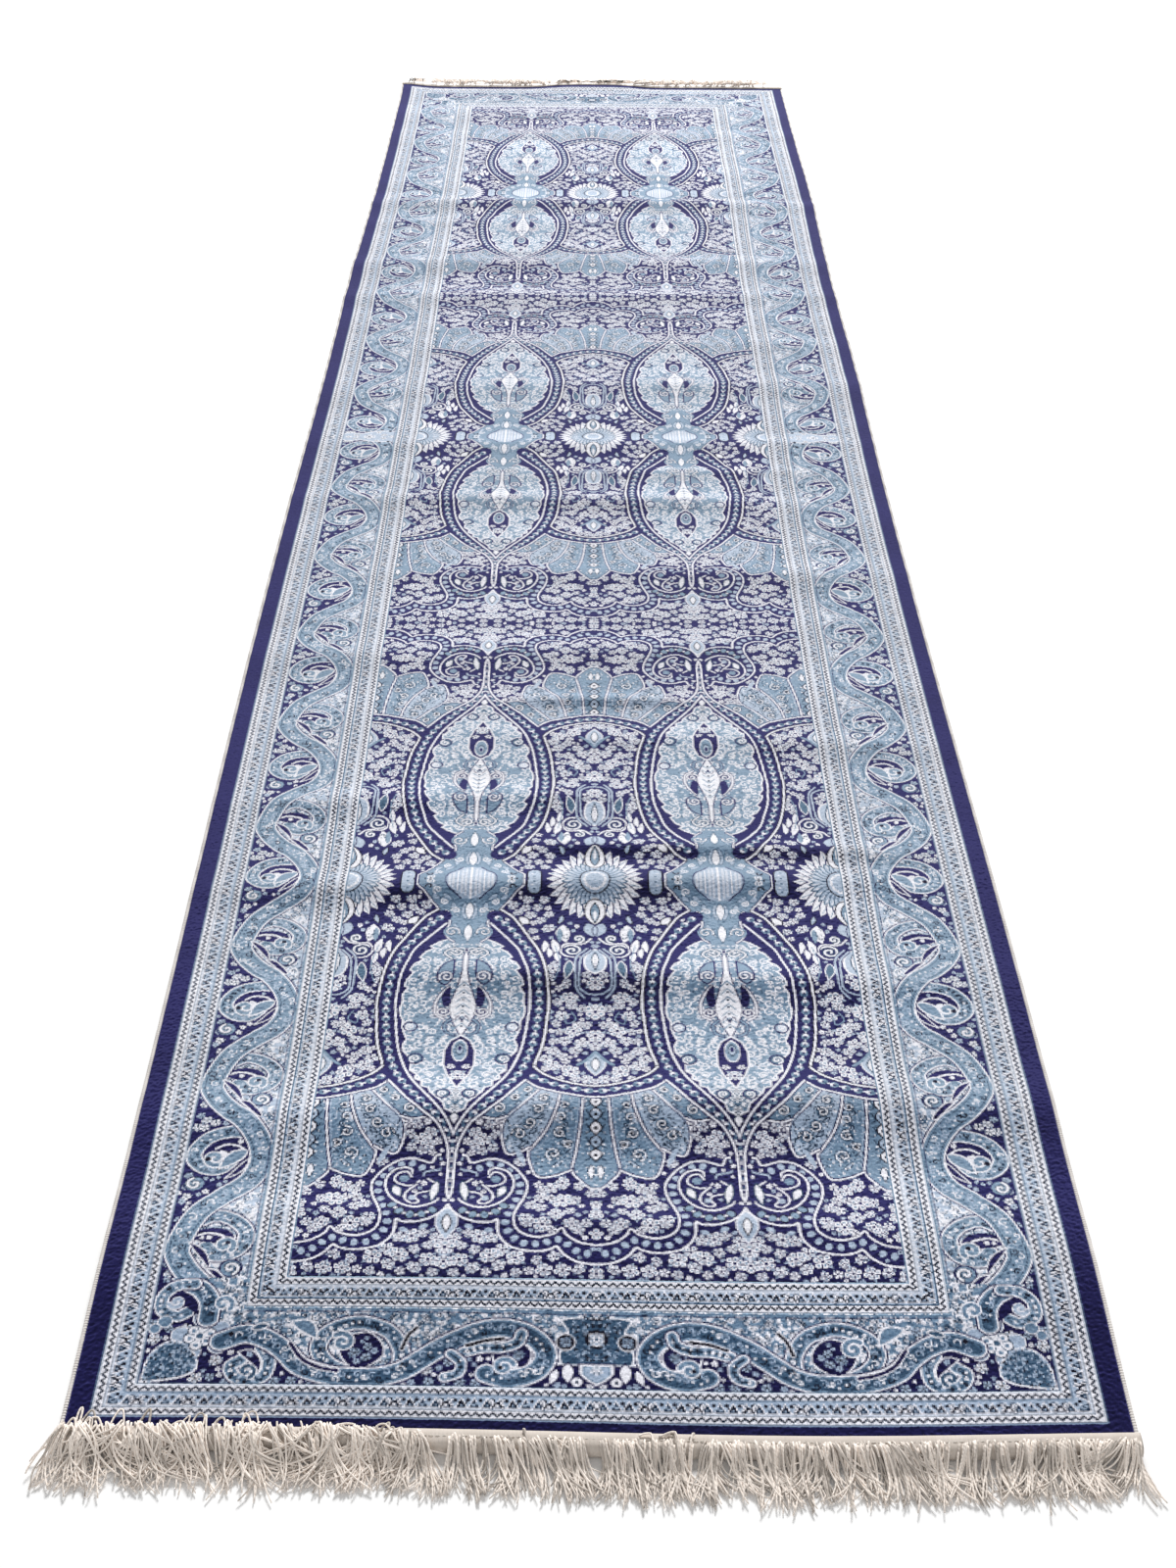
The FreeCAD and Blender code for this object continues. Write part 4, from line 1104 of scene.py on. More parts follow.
def pile_slab(name, grid, outer, inner, colours, bottom_colour):
    """A closed slab of pile: one face to each knot on top, coarse below, one colour to each face."""
    tuft = bpy.context.scene.runner_sizes.tuft / MM
    bi, bj = outer
    ai, aj = inner or (0, 0)
    i = np.arange(-bi, bi + 1)
    j = np.arange(-bj, bj + 1)
    hole = (np.abs(i)[None, :] < ai) & (np.abs(j)[:, None] < aj)
    vid = np.where(hole, -1, 0)
    vid[~hole] = np.arange((~hole).sum())
    x, y = np.meshgrid(i * grid.dx, j * grid.dy)
    rough = grid.uneven[grid.half_j - bj:grid.half_j + bj + 1, grid.half_i - bi:grid.half_i + bi + 1]
    top = np.stack([x, y, PILE_TOP - SHEARED + rough * tuft], -1)[~hole]
    ci, cj = i[:-1] + 0.5, j[:-1] + 0.5
    gap = (np.abs(ci)[None, :] < ai) & (np.abs(cj)[:, None] < aj)
    quads = np.stack([vid[:-1, :-1], vid[:-1, 1:], vid[1:, 1:], vid[1:, :-1]], -1)[~gap]
    rows, cols = np.nonzero(~gap)
    ib = breaks(-bi, -ai, ai, bi) if inner else breaks(-bi, bi)
    jb = breaks(-bj, -aj, aj, bj) if inner else breaks(-bj, bj)
    low, low_points = {}, []
    for b in jb:
        for a in ib:
            if abs(a) < ai and abs(b) < aj:
                continue
            low[a, b] = len(top) + len(low_points)
            low_points.append((a * grid.dx, b * grid.dy, PILE_FOOT))
    faces = []
    for b0, b1 in zip(jb[:-1], jb[1:]):
        for a0, a1 in zip(ib[:-1], ib[1:]):
            if abs(a0 + a1) < 2 * ai and abs(b0 + b1) < 2 * aj:
                continue
            faces.append(([low[a0, b0], low[a0, b1], low[a1, b1], low[a1, b0]], None))

    def wall(a0, b0, a1, b1):
        """A side face below the top edge that runs from one grid point to another."""
        n = max(abs(a1 - a0), abs(b1 - b0))
        sa, sb = np.sign(a1 - a0), np.sign(b1 - b0)
        edge = [vid[b0 + sb * k + bj, a0 + sa * k + bi] for k in range(n + 1)]
        mid = (min(a0, a1) + abs(a1 - a0) // 2, min(b0, b1) + abs(b1 - b0) // 2)
        faces.append(([low[a0, b0], low[a1, b1]] + edge[::-1], mid))

    for ri, rj, way in ((bi, bj, 1), (ai, aj, -1)) if inner else ((bi, bj, 1),):
        span_i = [a for a in ib if abs(a) <= ri]
        span_j = [b for b in jb if abs(b) <= rj]
        for a0, a1 in zip(span_i[:-1], span_i[1:]):
            for b, turn in ((-rj, way), (rj, -way)):
                wall(*((a0, b, a1, b) if turn > 0 else (a1, b, a0, b)))
        for b0, b1 in zip(span_j[:-1], span_j[1:]):
            for a, turn in ((ri, way), (-ri, -way)):
                wall(*((a, b0, a, b1) if turn > 0 else (a, b1, a, b0)))
    verts = lay(np.vstack([top, low_points]))
    sizes = np.concatenate([np.full(len(quads), 4), [len(f) for f, _ in faces]]).astype(int)
    corners = np.concatenate([quads.ravel()] + [np.array(f) for f, _ in faces])
    mesh = mesh_from(name, verts, sizes, corners)
    shades = np.ones((len(sizes), 4), np.float32)
    shades[:len(quads), :3] = colours[rows + grid.half_j - bj, cols + grid.half_i - bi]
    for k, (_, near) in enumerate(faces):
        shades[len(quads) + k, :3] = bottom_colour
        if near is not None:
            row = min(max(near[1] + grid.half_j, 0), colours.shape[0] - 1)
            col = min(max(near[0] + grid.half_i, 0), colours.shape[1] - 1)
            shades[len(quads) + k, :3] = colours[row, col]
    mesh.attributes.new("knot_colour", "FLOAT_COLOR", "FACE").data.foreach_set("color", shades.ravel())
    unwrap(mesh, grid, outer, inner, rows - bj, cols - bi, corners, verts)
    return mesh


def unwrap(mesh, grid, outer, inner, rows, cols, corners, verts):
    """Packs the top as side-by-side strips in one square, for the baked texture of the model."""
    chunks = ring_chunks(outer, inner)
    breadth = [min((c[1] - c[0]) * grid.dx, (c[3] - c[2]) * grid.dy) for c in chunks]
    run = [max((c[1] - c[0]) * grid.dx, (c[3] - c[2]) * grid.dy) for c in chunks]
    area = sum(b * r for b, r in zip(breadth, run))
    best = None
    for tall in np.linspace(0.7, 2.2, 60) * math.sqrt(area):
        wide = sum(math.ceil(r / tall) * (b + 6) for b, r in zip(breadth, run))
        if best is None or max(wide, tall + 12) < best[1]:
            best = (tall, max(wide, tall + 12))
    tall, side = best
    uv = np.zeros((len(corners), 2), np.float32)
    top = len(rows)
    low = verts[corners[4 * top:]]
    uv[4 * top:] = 0.001 + 0.004 * np.stack([low[:, 0] + 0.5, (low[:, 1] + 2) / 4], 1)
    at = 3.0
    for (i0, i1, j0, j1), b, r in zip(chunks, breadth, run):
        inside = (cols >= i0) & (cols < i1) & (rows >= j0) & (rows < j1)
        upright = (j1 - j0) * grid.dy >= (i1 - i0) * grid.dx
        n = math.ceil(r / tall)
        c4 = np.stack([cols, cols + 1, cols + 1, cols], 1)[inside] - i0
        r4 = np.stack([rows, rows, rows + 1, rows + 1], 1)[inside] - j0
        u, v = (c4 * grid.dx, r4 * grid.dy) if upright else (r4 * grid.dy, c4 * grid.dx)
        step = r / n
        strip = np.minimum((v.min(1) + 1e-6) // step, n - 1)
        uu = at + strip[:, None] * (b + 6) + u
        vv = 10.0 + v - strip[:, None] * step
        slots = (np.nonzero(inside)[0][:, None] * 4 + np.arange(4)).ravel()
        uv[slots] = np.stack([uu.ravel(), vv.ravel()], 1) / side
        at += n * (b + 6)
    mesh.uv_layers.new(name="OFBake").uv.foreach_set("vector", uv.ravel())


DYE_SPREAD = 0.055      # how unevenly single tufts have taken the dye, as a share of their colour


def knot_colours(grid):
    """The colour of every knot of the rug, from the weaver's cartoons."""
    yarns = bpy.context.scene.runner_yarns
    shelf = np.array([tuple(c)[:3] for c in (yarns.navy, yarns.ink, yarns.steel, yarns.mid, yarns.soft,
                                             yarns.pale, yarns.ivory)])
    field, side, end = field_cell(), scroll_side(), scroll_end()
    guards = [guard_strip(OUTER_GUARD[0] - SCROLL[0]), guard_strip(INNER_GUARD[0] - FIELD[0])]
    total = np.zeros(grid.dye.shape + (3,))
    cell_wide, cell_long = FIELD[0] / 2, FIELD[1] / 3
    # Four samples to a knot, so that fine lines soften instead of breaking up.
    for ox, oy in ((-0.25, -0.25), (0.25, -0.25), (-0.25, 0.25), (0.25, 0.25)):
        x = np.abs((np.arange(-grid.half_i, grid.half_i) + 0.5 + ox) * grid.dx)[None, :]
        y = np.abs((np.arange(-grid.half_j, grid.half_j) + 0.5 + oy) * grid.dy)[:, None]
        x, y = np.broadcast_arrays(x, y)
        yarn = np.zeros(x.shape, np.uint8)

        def take(drawing, a, b, where):
            """Copies yarn numbers from a drawing, at a along and b up it, to the knots in where."""
            col = np.clip(((a[where] - drawing.x0) * FINE).astype(int), 0, drawing.wide - 1)
            row = np.clip(((b[where] - drawing.y0) * FINE).astype(int), 0, drawing.long - 1)
            yarn[where] = drawing.yarn[row, col]

        def within(size):
            """The knots inside a band's outer edge."""
            return (x < size[0]) & (y < size[1])

        across = np.where(x > cell_wide, 2 * cell_wide - x, x)
        down = np.abs((y + cell_long) % (2 * cell_long) - cell_long) * CELL_DRAWN / cell_long
        take(field, across, down, within(FIELD))
        for drawing, big, small in ((guards[0], OUTER_GUARD, SCROLL), (guards[1], INNER_GUARD, FIELD)):
            from_side, from_end = big[0] - x, big[1] - y
            run = np.where(from_side < from_end, y, x)
            take(drawing, (run + GUARD_REPEAT / 2) % GUARD_REPEAT, np.minimum(from_side, from_end),
                 within(big) & ~within(small))
        broad = within(SCROLL) & ~within(INNER_GUARD)
        take(side, x, y, broad & (y < CORNER_START))
        take(end, x, y, broad & (y >= CORNER_START))
        total += shelf[yarn]
    return total / 4 * (1 + DYE_SPREAD * grid.dye[..., None])


class RUNNER_OT_weave_pile(bpy.types.Operator):
    """Weaves the pile: the field, the two guard stripes, the scroll border and the plain band"""
    bl_idname = "runner.weave_pile"
    bl_label = "Weave the pile"

    def execute(self, context):
        sizes = context.scene.runner_sizes
        grid = KnotGrid(sizes.knot / MM)
        colours = knot_colours(grid)
        foot = np.array(tuple(context.scene.runner_yarns.backing)[:3])
        material = pile_material()
        rings = [grid.lines(s) for s in (FIELD, INNER_GUARD, SCROLL, OUTER_GUARD)]
        rings.append((grid.half_i, grid.half_j))
        bands = (("Field_pile", "pile_field", "pile_field"),
                 ("Inner_guard_pile", "pile_guard", "pile_inner_guard"),
                 ("Scroll_border_pile", "pile_scroll", "pile_scroll_border"),
                 ("Outer_guard_pile", "pile_guard", "pile_outer_guard"),
                 ("Plain_band_pile", "pile_navy", "pile_plain_band"))
        for k, (name, slot, node) in enumerate(bands):
            mesh = pile_slab(name, grid, rings[k], rings[k - 1] if k else None, colours, foot)
            piece(name, mesh, material, slot, node)
        return {"FINISHED"}


# ---------------------------------------------------------------- backing, sides and ends

def plate(low, high, step):
    """A thin closed sheet between two corners: points, face sizes and corners."""
    x0, y0, z0 = low
    x1, y1, z1 = high
    nx, ny = max(1, round((x1 - x0) / step)), max(1, round((y1 - y0) / step))
    x, y = np.meshgrid(np.linspace(x0, x1, nx + 1), np.linspace(y0, y1, ny + 1))
    top = np.stack([x, y, np.full_like(x, z1)], -1).reshape(-1, 3)
    low = np.stack([x, y, np.full_like(x, z0)], -1).reshape(-1, 3)
    ids = np.arange(len(top)).reshape(ny + 1, nx + 1)
    up = np.stack([ids[:-1, :-1], ids[:-1, 1:], ids[1:, 1:], ids[1:, :-1]], -1).reshape(-1, 4)
    rim = np.concatenate([ids[0, :-1], ids[:-1, -1], ids[-1, :0:-1], ids[:0:-1, 0]])
    ahead = np.roll(rim, -1)
    walls = np.stack([ahead, rim, rim + len(top), ahead + len(top)], 1)
    quads = np.vstack([up, up[:, ::-1] + len(top), walls])
    return np.vstack([top, low]), np.full(len(quads), 4), quads.ravel()


def plate_piece(name, node, material, slot, step=12):
    """A thin sheet in the place of a CAD piece, with a grid of about step mm."""
    low, high = box_mm(node)
    return laid_piece(name, plate(low, high, step), material, slot, node)


class RUNNER_OT_lay_backing(bpy.types.Operator):
    bl_idname = "runner.lay_backing"
    bl_label = "Lay the backing"

    def execute(self, context):
        yarns = context.scene.runner_yarns
        # Plain-woven cotton and jute: dull and dry, in cream with a coarse grain of threads.
        cloth = yarn_material("Cotton and jute backing, plain woven", tuple(yarns.backing), 2.5, 0.6)
        # Cured latex: a thin off-white skin, smoother than cloth, that still shows the brush's strokes.
        latex = yarn_material("Latex, brushed on and cured", linear("cdc4b0"), 6.0, 0.2, rough=0.55,
                              sheen=0.0)
        backing = plate_piece("Woven_backing", "woven_backing", cloth, "backing")
        coat = plate_piece("Latex_coat", "latex_back_coat", latex, "latex")
        return {"FINISHED"}


WRAP_PITCH = 2.6        # from one turn of the serging yarn to the next, in mm
LOWEST = 0.02           # the serged edge just clears the floor, in mm


def side_binding(name, node, material, slot):
    """A serged edge: yarn wrapped over the side in slanting turns."""
    low, high = box_mm(node)
    rng = np.random.default_rng(41 if low[0] < 0 else 42)
    turn = np.linspace(0, 2 * math.pi, 12, endpoint=False)
    wide, tall = (high[0] - low[0]) / 2, (high[2] - low[2]) / 2
    shape_x = np.sign(np.cos(turn)) * np.abs(np.cos(turn)) ** 0.55
    shape_z = np.sign(np.sin(turn)) * np.abs(np.sin(turn)) ** 0.7
    y = np.arange(low[1], high[1] + 0.01, WRAP_PITCH / 4)
    wrap = np.sin(2 * math.pi * y[:, None] / WRAP_PITCH + turn[None, :])
    puff = 0.93 + 0.09 * wrap + np.interp(y, y[::9], rng.normal(0, 0.025, len(y[::9])))[:, None]
    x = (low[0] + high[0]) / 2 + wide * shape_x * puff
    z = np.maximum(low[2] + tall + tall * shape_z * puff, LOWEST)
    rings = np.stack([x, np.broadcast_to(y[:, None], x.shape), z], -1)[None]
    return laid_piece(name, tubes(rings), material, slot, node)


def side_cord(name, node, material, slot):
    """The cord inside the serged edge, with a ring of points every 6 mm."""
    low, high = box_mm(node)
    y = np.arange(low[1], high[1] + 0.01, 6.0)
    x = np.full_like(y, (low[0] + high[0]) / 2)
    z = np.full_like(y, (low[2] + high[2]) / 2)
    rings = round_rings(np.stack([x, y, z], -1)[None], (high[0] - low[0]) / 2, 8)
    return laid_piece(name, tubes(rings), material, slot, node)


class RUNNER_OT_serge_sides(bpy.types.Operator):
    """Serges the two long sides over their cords"""
    bl_idname = "runner.serge_sides"
    bl_label = "Serge the sides"

    def execute(self, context):
        shade = tuple(context.scene.runner_yarns.serging)
        # Wrapped polyester yarn: a pale, soft rope of slanting turns down either side.
        yarn = yarn_material("Polyester serging yarn, wrapped", shade, 1.3, 0.5, "Y")
        # Twisted cotton cord: dull cream, and hidden inside the wrapping.
        cord = yarn_material("Cotton cord, twisted", linear("d8d0c4"), 1.5, 0.4)
        for side in ("left", "right"):
            side_binding(f"{side.title()}_serged_edge", f"{side}_edge_binding", yarn, "binding")
            side_cord(f"{side.title()}_inner_cord", f"{side}_selvedge_cord", cord, "cord")
        return {"FINISHED"}


# The tape's section as it is folded over the cut end: distance from the rug's middle, height, and
# how far a soft spot moves it, in mm.
TAPE_FOLD = ((1742.6, 8.2, 0), (1743.0, 9.0, 0.6), (1747.5, 9.5, 1), (1752.5, 9.4, 1), (1756.5, 8.2, 1),
             (1758.6, 5.6, 1), (1759.4, 2.0, 0), (1758.5, 0.2, 0), (1752.0, 0.2, 0), (1751.2, 3.0, 0),
             (1751.0, 8.2, 0))
# The sewing line on the tape's fold: distance from the rug's middle and height, and the stitches on
# it: their number, length, bow and half thickness, in mm.
SEWN_AT, SEWN_HEIGHT = 1749.5, 9.35
STITCHES, STITCH_LONG, STITCH_BOW, THREAD_RADIUS = 158, 3.4, 0.5, 0.32
WEB_SHADE = 0.7         # the close weave of the tape looks this much darker than loose yarn


class RUNNER_OT_sew_tapes(bpy.types.Operator):
    """Sews the tapes over the cut ends"""
    bl_idname = "runner.sew_tapes"
    bl_label = "Sew the end tapes"

    def execute(self, context):
        shade = tuple(context.scene.runner_yarns.cotton)
        # Woven cotton tape: flat and matt, a shade darker than the fringe that hangs from it.
        web = yarn_material("Cotton tape, woven", tuple(WEB_SHADE * v for v in shade[:3]) + (1.0,), 1.6,
                            0.6, "X", sheen=0.0)
        # Twisted polyester thread: a fine pale line of stitches that catches a little light.
        thread = yarn_material("Polyester thread, twisted", linear("f0ebe4"), 0.6, 0.3)
        for end, side, seed in (("near", -1, 51), ("far", 1, 52)):
            self.fold(end, side, seed, web)
            self.stitch(end, side, thread)
        return {"FINISHED"}

    def fold(self, end, side, seed, web):
        """A tape folded over the cut end, softly uneven along its length."""
        low, high = box_mm(f"{end}_fringe_tape")
        x = np.arange(low[0], high[0] + 0.01, 2.0)
        rng = np.random.default_rng(seed)
        soft = np.interp(x, x[::7], rng.normal(0, 0.3, len(x[::7])))[:, None]
        away, height, give = np.array(TAPE_FOLD).T
        y = away[None, :] + soft * 0.6
        z = height[None, :] + give * soft
        rings = np.stack([np.broadcast_to(x[:, None], z.shape), side * y, z], -1)[:, ::side]
        laid_piece(f"{end.title()}_tape", tubes(rings[None, :, ::-1]), web, "tape", f"{end}_fringe_tape")

    def stitch(self, end, side, thread):
        """A row of lockstitches, each a short bowed thread."""
        low, high = box_mm(f"{end}_tape_stitches")
        pitch = (high[0] - low[0] - STITCH_LONG) / (STITCHES - 1)
        t = np.linspace(0, 1, 7)
        x = low[0] + pitch * np.arange(STITCHES)[:, None] + STITCH_LONG * t[None, :]
        y = np.full_like(x, side * SEWN_AT)
        z = SEWN_HEIGHT + STITCH_BOW * np.sin(math.pi * t)[None, :] * np.ones((STITCHES, 1))
        rings = round_rings(np.stack([x, y, z], -1), THREAD_RADIUS, 6)
        laid_piece(f"{end.title()}_stitching", tubes(rings), thread, "thread", f"{end}_tape_stitches")


# ---------------------------------------------------------------- fringe

IN_TUFT = 5             # strands that hang together from one place
CROWDED = 406           # beyond this distance from the middle line strands crowd together, in mm
OFF_TAPE = 1754         # the distance from the rug's middle where a strand leaves the tape, in mm
TAPE_BED, BED_DROP = 9.6, 8.7   # a strand's height on the tape, and its drop from there to the floor
STRAND_LOW, STRAND_HIGH = 0.9, 17.0     # the lowest and the highest that a strand's middle may lie
LEFT_EDGE = -398        # where the loose strands at the near left corner begin, in mm


def drift_along(rng, x, spacing, size):
    """A slow random drift of a value along the rug's width."""
    knots = np.arange(-460, 461, spacing)
    return np.interp(x, knots, rng.normal(0, size, len(knots)))


def drape(x, away, rise, near):
    """Brings strands into place: x stays inside the rug's width, away is the distance from the rug's
    middle, and rise is how far a strand stands above the way it would lie on tape and floor."""
    room, slope = (12, 20) if near else (20, 70)
    over = np.clip(np.abs(x) - CROWDED, 0, None)
    x = np.where(over > 0, np.sign(x) * (CROWDED + room * (1 - np.exp(-over / room))), x)
    fall = np.clip((away - OFF_TAPE) / slope, 0, 1)
    bed = TAPE_BED - BED_DROP * fall * fall * (3 - 2 * fall)
    z = np.clip(bed + rise, STRAND_LOW, STRAND_HIGH)
    return np.stack([x, -away if near else away, z], -1)


def fringe_strands(end, seed):
    """Paths of the strands at one end, shaped (strand, point, 3), in mm. They hang in small tufts, and
    those at the near left are the most tangled."""
    sizes = bpy.context.scene.runner_sizes
    rng = np.random.default_rng(seed)
    near = end == "near"
    count, points = sizes.strands if near else sizes.strands // 2, 15
    tufts = count // IN_TUFT
    middle = np.sort(rng.uniform(-HALF_WIDE, HALF_WIDE, tufts))
    of = np.minimum(np.arange(count) // IN_TUFT, tufts - 1)
    x0 = middle[of] + rng.normal(0, 1.6, count)
    s = np.linspace(0, 1, points)
    left = np.clip((-90 - x0) / 110, 0, 1) if near else np.full(count, 0.7)
    # The fourth draw isn't used. It keeps the draws after it in their order.
    tuft_slant, tuft_bend, tuft_long, _ = (rng.normal(0, 1, tufts)[of] for _ in range(4))
    long = sizes.fringe / MM * (1 + 0.07 * tuft_long + rng.normal(0, 0.06, count))
    long = long * (1 + 0.1 * left * near)
    long = np.where(rng.uniform(size=count) < 0.12, long * rng.uniform(0.6, 1.0, count), long)
    slant = 0.12 + drift_along(rng, x0, 22, 0.22) + (0.15 + 0.14 * left) * tuft_slant
    slant = slant + rng.normal(0, 0.08, count)
    slant = slant - 0.16 * np.clip((x0 - 330) / 70, 0, 1) * near
    bend = drift_along(rng, x0, 30, 0.16) + (0.2 + 0.25 * left) * tuft_bend
    bend = bend + rng.normal(0, 0.13, count)
    swing = slant[:, None] * s + bend[:, None] * s ** 2.2
    turns = rng.uniform(0.5, 1.3, count)[:, None]
    amp = rng.uniform(0.4, 1.8, count) * (1 + 1.8 * left) * (1 if near else 1.6)
    phase = rng.uniform(0, 1, count)[:, None]
    wave = amp[:, None] * np.sin(2 * math.pi * (s[None] * turns + phase)) * s ** 0.7
    x = x0[:, None] + long[:, None] * swing + wave
    shorten = np.sqrt(np.clip(1 - np.gradient(swing, s, axis=1) ** 2, 0.15, 1))
    out = np.cumsum(np.concatenate([np.zeros((count, 1)), shorten[:, 1:] / (points - 1)], 1), axis=1)
    root = (1752.5 if near else 1750.0) - 8.0 * left * near + rng.uniform(-2.5, 2.5, count)
    away = root[:, None] + (long[:, None] - 2) * out + 0.7 * wave[:, ::-1] * s
    layer = rng.uniform(0, 1, count)[:, None]
    if near:
        rise = 0.2 + layer * (3.2 + 2.0 * left[:, None] * (1 - s)) * (1 - 0.4 * s)
        rise = rise + 1.6 * left[:, None] * np.sin(np.pi * s) * layer
    else:
        rise = 0.4 + layer * 11 * np.sin(np.pi * np.clip(0.12 + s, 0, 1)) + 1.5 * layer
    return drape(x, away, rise, near)


def loose_strands(seed):
    """A few strands flung back over the plain band at the near end, most of them at the left."""
    rng = np.random.default_rng(seed)
    count, points = 40, 19
    x0 = np.where(rng.uniform(size=count) < 0.86, LEFT_EDGE + 250 * rng.uniform(0, 1, count) ** 1.1,
                  rng.uniform(-60, 70, count))
    s = np.linspace(0, 1, points)
    back = rng.uniform(2, 20, count) * np.clip(1.1 - (x0 - LEFT_EDGE) / 420, 0.3, 1)
    side = rng.normal(14, 12, count)
    out = rng.uniform(16, 46, count)
    away = 1747 - back[:, None] * np.sin(np.pi * np.clip(s * 1.6, 0, 1))
    away = away + out[:, None] * np.clip((s - 0.4) / 0.6, 0, 1) ** 1.1
    amp, turns, phase = (rng.uniform(*ends, count)[:, None] for ends in ((1, 4), (0.5, 1.3), (0, 1)))
    x = x0[:, None] + side[:, None] * s + amp * np.sin(2 * math.pi * (s[None] * turns + phase))
    rise = 0.4 + rng.uniform(0.4, 3.2, count)[:, None] * np.sin(np.pi * s)
    return drape(x, away, rise, True)


class RUNNER_OT_knot_fringe(bpy.types.Operator):
    """Hangs the cotton fringe at both ends"""
    bl_idname = "runner.knot_fringe"
    bl_label = "Knot the fringe"

    def execute(self, context):
        # Twisted cotton yarn: soft and matt. At the near end, strands that lie under others are painted
        # darker, as painted shade, so the fringe reads as many separate threads.
        cotton = yarn_material("Cotton fringe yarn, twisted", tuple(context.scene.runner_yarns.cotton),
                               1.2, 0.5, sheen=0.1, uneven="strand_shade")
        self.hang("near", 61, [fringe_strands("near", 61), loose_strands(63)], cotton)
        self.hang("far", 62, [fringe_strands("far", 62)], cotton)
        return {"FINISHED"}

    def hang(self, end, seed, sets, cotton):
        """Makes the strands of one end from sets of paths; at the near end it paints shade on those that
        lie lowest, on top of a random shade for each strand.
        """
        strand = bpy.context.scene.runner_sizes.strand / MM
        verts, counts, corners, shades, shift = [], [], [], [], 0
        for paths in sets:
            rng = np.random.default_rng(seed + 5)
            radius = strand / 2 * rng.uniform(0.8, 1.2, (len(paths), 1))
            radius = radius * (1 - 0.35 * np.linspace(0, 1, paths.shape[1]) ** 4)
            points, faces, loops = tubes(round_rings(paths, radius, 5))
            verts.append(points)
            counts.append(faces)
            corners.append(loops + shift)
            shift += len(points)
            # Painted shade: in each set the lowest-lying strands, under the others, are made darker; the
            # beta draw gives each strand a random shade as well.
            rank = paths[..., 2].mean(axis=1).argsort().argsort() / len(paths)
            shade = rng.beta(2.4, 0.5, len(paths)) * np.clip(0.1 + 3.0 * rank, 0, 1)
            shade = shade if end == "near" else np.ones(len(paths))
            shades.append(np.repeat(shade, len(faces) // len(paths)))
        name = f"{end.title()}_fringe"
        mesh = mesh_from(name, lay(np.vstack(verts)), np.concatenate(counts), np.concatenate(corners))
        shade = mesh.attributes.new("strand_shade", "FLOAT", "FACE")
        shade.data.foreach_set("value", np.concatenate(shades).astype(np.float32))
        piece(name, mesh, cotton, "fringe", f"{end}_fringe_strands")


# ---------------------------------------------------------------- stage

# The lamps: name, kind, place and target in metres, size (an angle for a sun, else metres), power.
LAMPS = (("Back_softbox", "SUN", (0.5, 5.0, 3.0), (0, 0, 0), math.radians(14), 3.0),
         ("Far_softbox", "AREA", (0.2, 3.4, 2.4), (0, 1.2, 0), 2.4, 80),
         ("Front_softbox", "AREA", (0.0, -3.7, 0.4), (0, -1.8, 0), 1.0, 10))
AMBIENT = 0.42          # strength of the even white light from all round
LENS, SENSOR = 48.76, 36.0                      # focal length and sensor width, in mm
CAMERA_PLACE = (-0.013, -2.787, 1.289)          # in metres
CAMERA_PAN, CAMERA_DOWN, CAMERA_ROLL = -0.18, 33.94, 0.38       # in degrees
FLOOR_HALF, FLOOR_Z = 30, -0.0005               # in metres


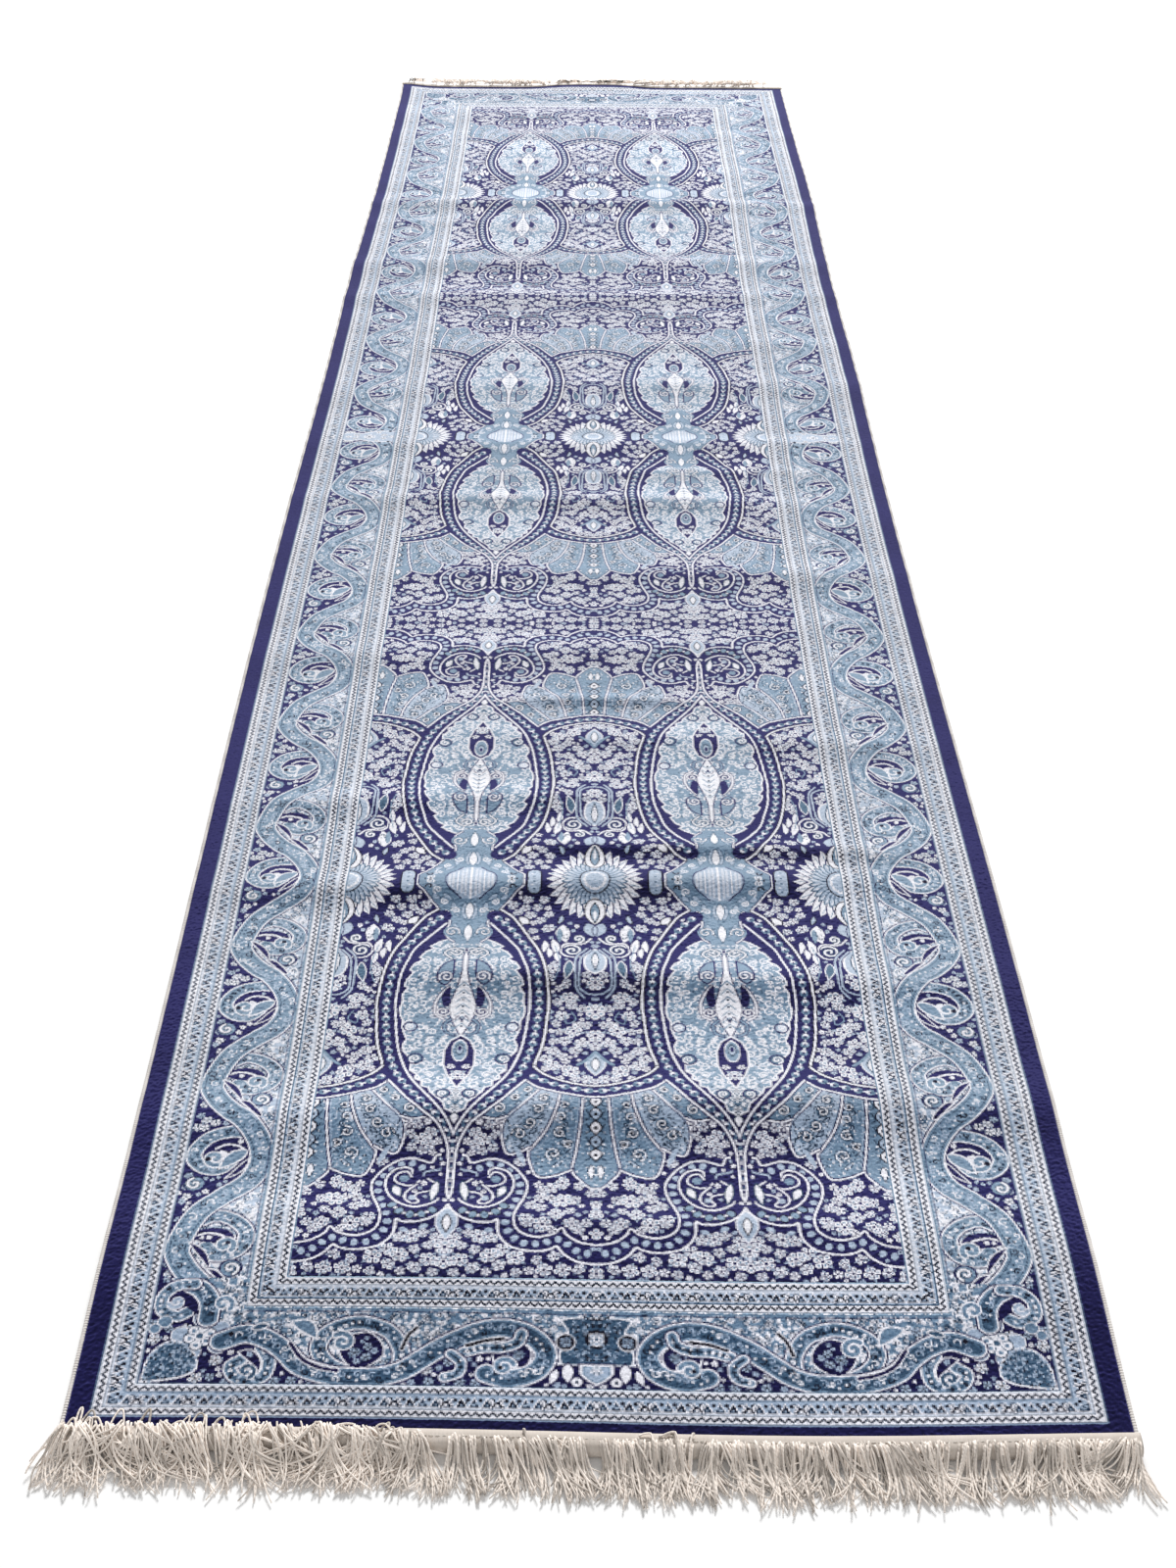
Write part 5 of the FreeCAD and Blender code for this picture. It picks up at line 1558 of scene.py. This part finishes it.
class RUNNER_OT_set_stage(bpy.types.Operator):
    """Sets the pale floor, the soft studio light and the camera"""
    bl_idname = "runner.set_stage"
    bl_label = "Set the stage"

    def execute(self, context):
        scene = context.scene
        square = [(-1, -1), (1, -1), (1, 1), (-1, 1)]
        floor_points = np.array([(FLOOR_HALF * x, FLOOR_HALF * y, FLOOR_Z) for x, y in square])
        mesh = mesh_from("Floor", floor_points, np.array([4]), np.arange(4))
        floor = bpy.data.objects.new("Floor", mesh)
        scene.collection.objects.link(floor)
        # Painted board: an even white without gloss.
        mat, _, skin = new_material("Painted board, matt white")
        set_skin(skin, Base_Color=linear("fefefe"), Roughness=0.9, Specular_IOR_Level=0.1)
        mesh.materials.append(mat)
        world = bpy.data.worlds.new("Studio")
        scene.world = world
        world.use_nodes = True
        sky = world.node_tree.nodes["Background"].inputs
        sky["Color"].default_value = (1, 1, 1, 1)
        sky["Strength"].default_value = AMBIENT
        for lamp in LAMPS:
            self.lamp(*lamp)
        scene.view_settings.view_transform = "Standard"
        data = bpy.data.cameras.new("Camera")
        data.lens = LENS
        data.sensor_width = SENSOR
        data.clip_end = 100
        camera = bpy.data.objects.new("Camera", data)
        scene.collection.objects.link(camera)
        camera.location = CAMERA_PLACE
        aim = Matrix.Rotation(math.radians(CAMERA_PAN), 4, "Z")
        aim @= Matrix.Rotation(math.radians(90 - CAMERA_DOWN), 4, "X")
        aim @= Matrix.Rotation(math.radians(CAMERA_ROLL), 4, "Z")
        camera.rotation_euler = aim.to_euler()
        scene.camera = camera
        return {"FINISHED"}

    def lamp(self, name, kind, place, target, size, power):
        """A lamp that points from its place to its target."""
        data = bpy.data.lights.new(name, kind)
        if kind == "SUN":
            data.angle = size
        else:
            data.shape = "DISK"
            data.size = size
        data.energy = power
        lamp = bpy.data.objects.new(name, data)
        lamp.location = place
        lamp.rotation_euler = (Vector(target) - Vector(place)).to_track_quat("-Z", "Y").to_euler()
        bpy.context.scene.collection.objects.link(lamp)


class RUNNER_PT_panel(bpy.types.Panel):
    """Lists the rug's steps and sizes"""
    bl_idname = "RUNNER_PT_panel"
    bl_label = "Runner Rug"
    bl_space_type = "VIEW_3D"
    bl_region_type = "UI"
    bl_category = "Runner Rug"

    def draw(self, context):
        for group in (context.scene.runner_sizes, context.scene.runner_yarns):
            box = self.layout.box()
            for name in group.__annotations__:
                box.prop(group, name)
        for step in STEPS:
            self.layout.operator(step.bl_idname)


STEPS = (RUNNER_OT_weave_pile, RUNNER_OT_serge_sides, RUNNER_OT_sew_tapes, RUNNER_OT_knot_fringe,
         RUNNER_OT_lay_backing, RUNNER_OT_set_stage)
CLASSES = (RunnerYarns, RunnerSizes, *STEPS, RUNNER_PT_panel)


def register():
    """Registers the classes and hangs the rug's settings on the scene."""
    for cls in CLASSES:
        bpy.utils.register_class(cls)
    bpy.types.Scene.runner_yarns = PointerProperty(type=RunnerYarns)
    bpy.types.Scene.runner_sizes = PointerProperty(type=RunnerSizes)


def unregister():
    """Takes away what register added."""
    del bpy.types.Scene.runner_sizes
    del bpy.types.Scene.runner_yarns
    for cls in reversed(CLASSES):
        bpy.utils.unregister_class(cls)


def main():
    register()
    for step in STEPS:
        group, name = step.bl_idname.split(".")
        getattr(getattr(bpy.ops, group), name)()
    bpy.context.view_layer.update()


if __name__ == "__main__":
    main()
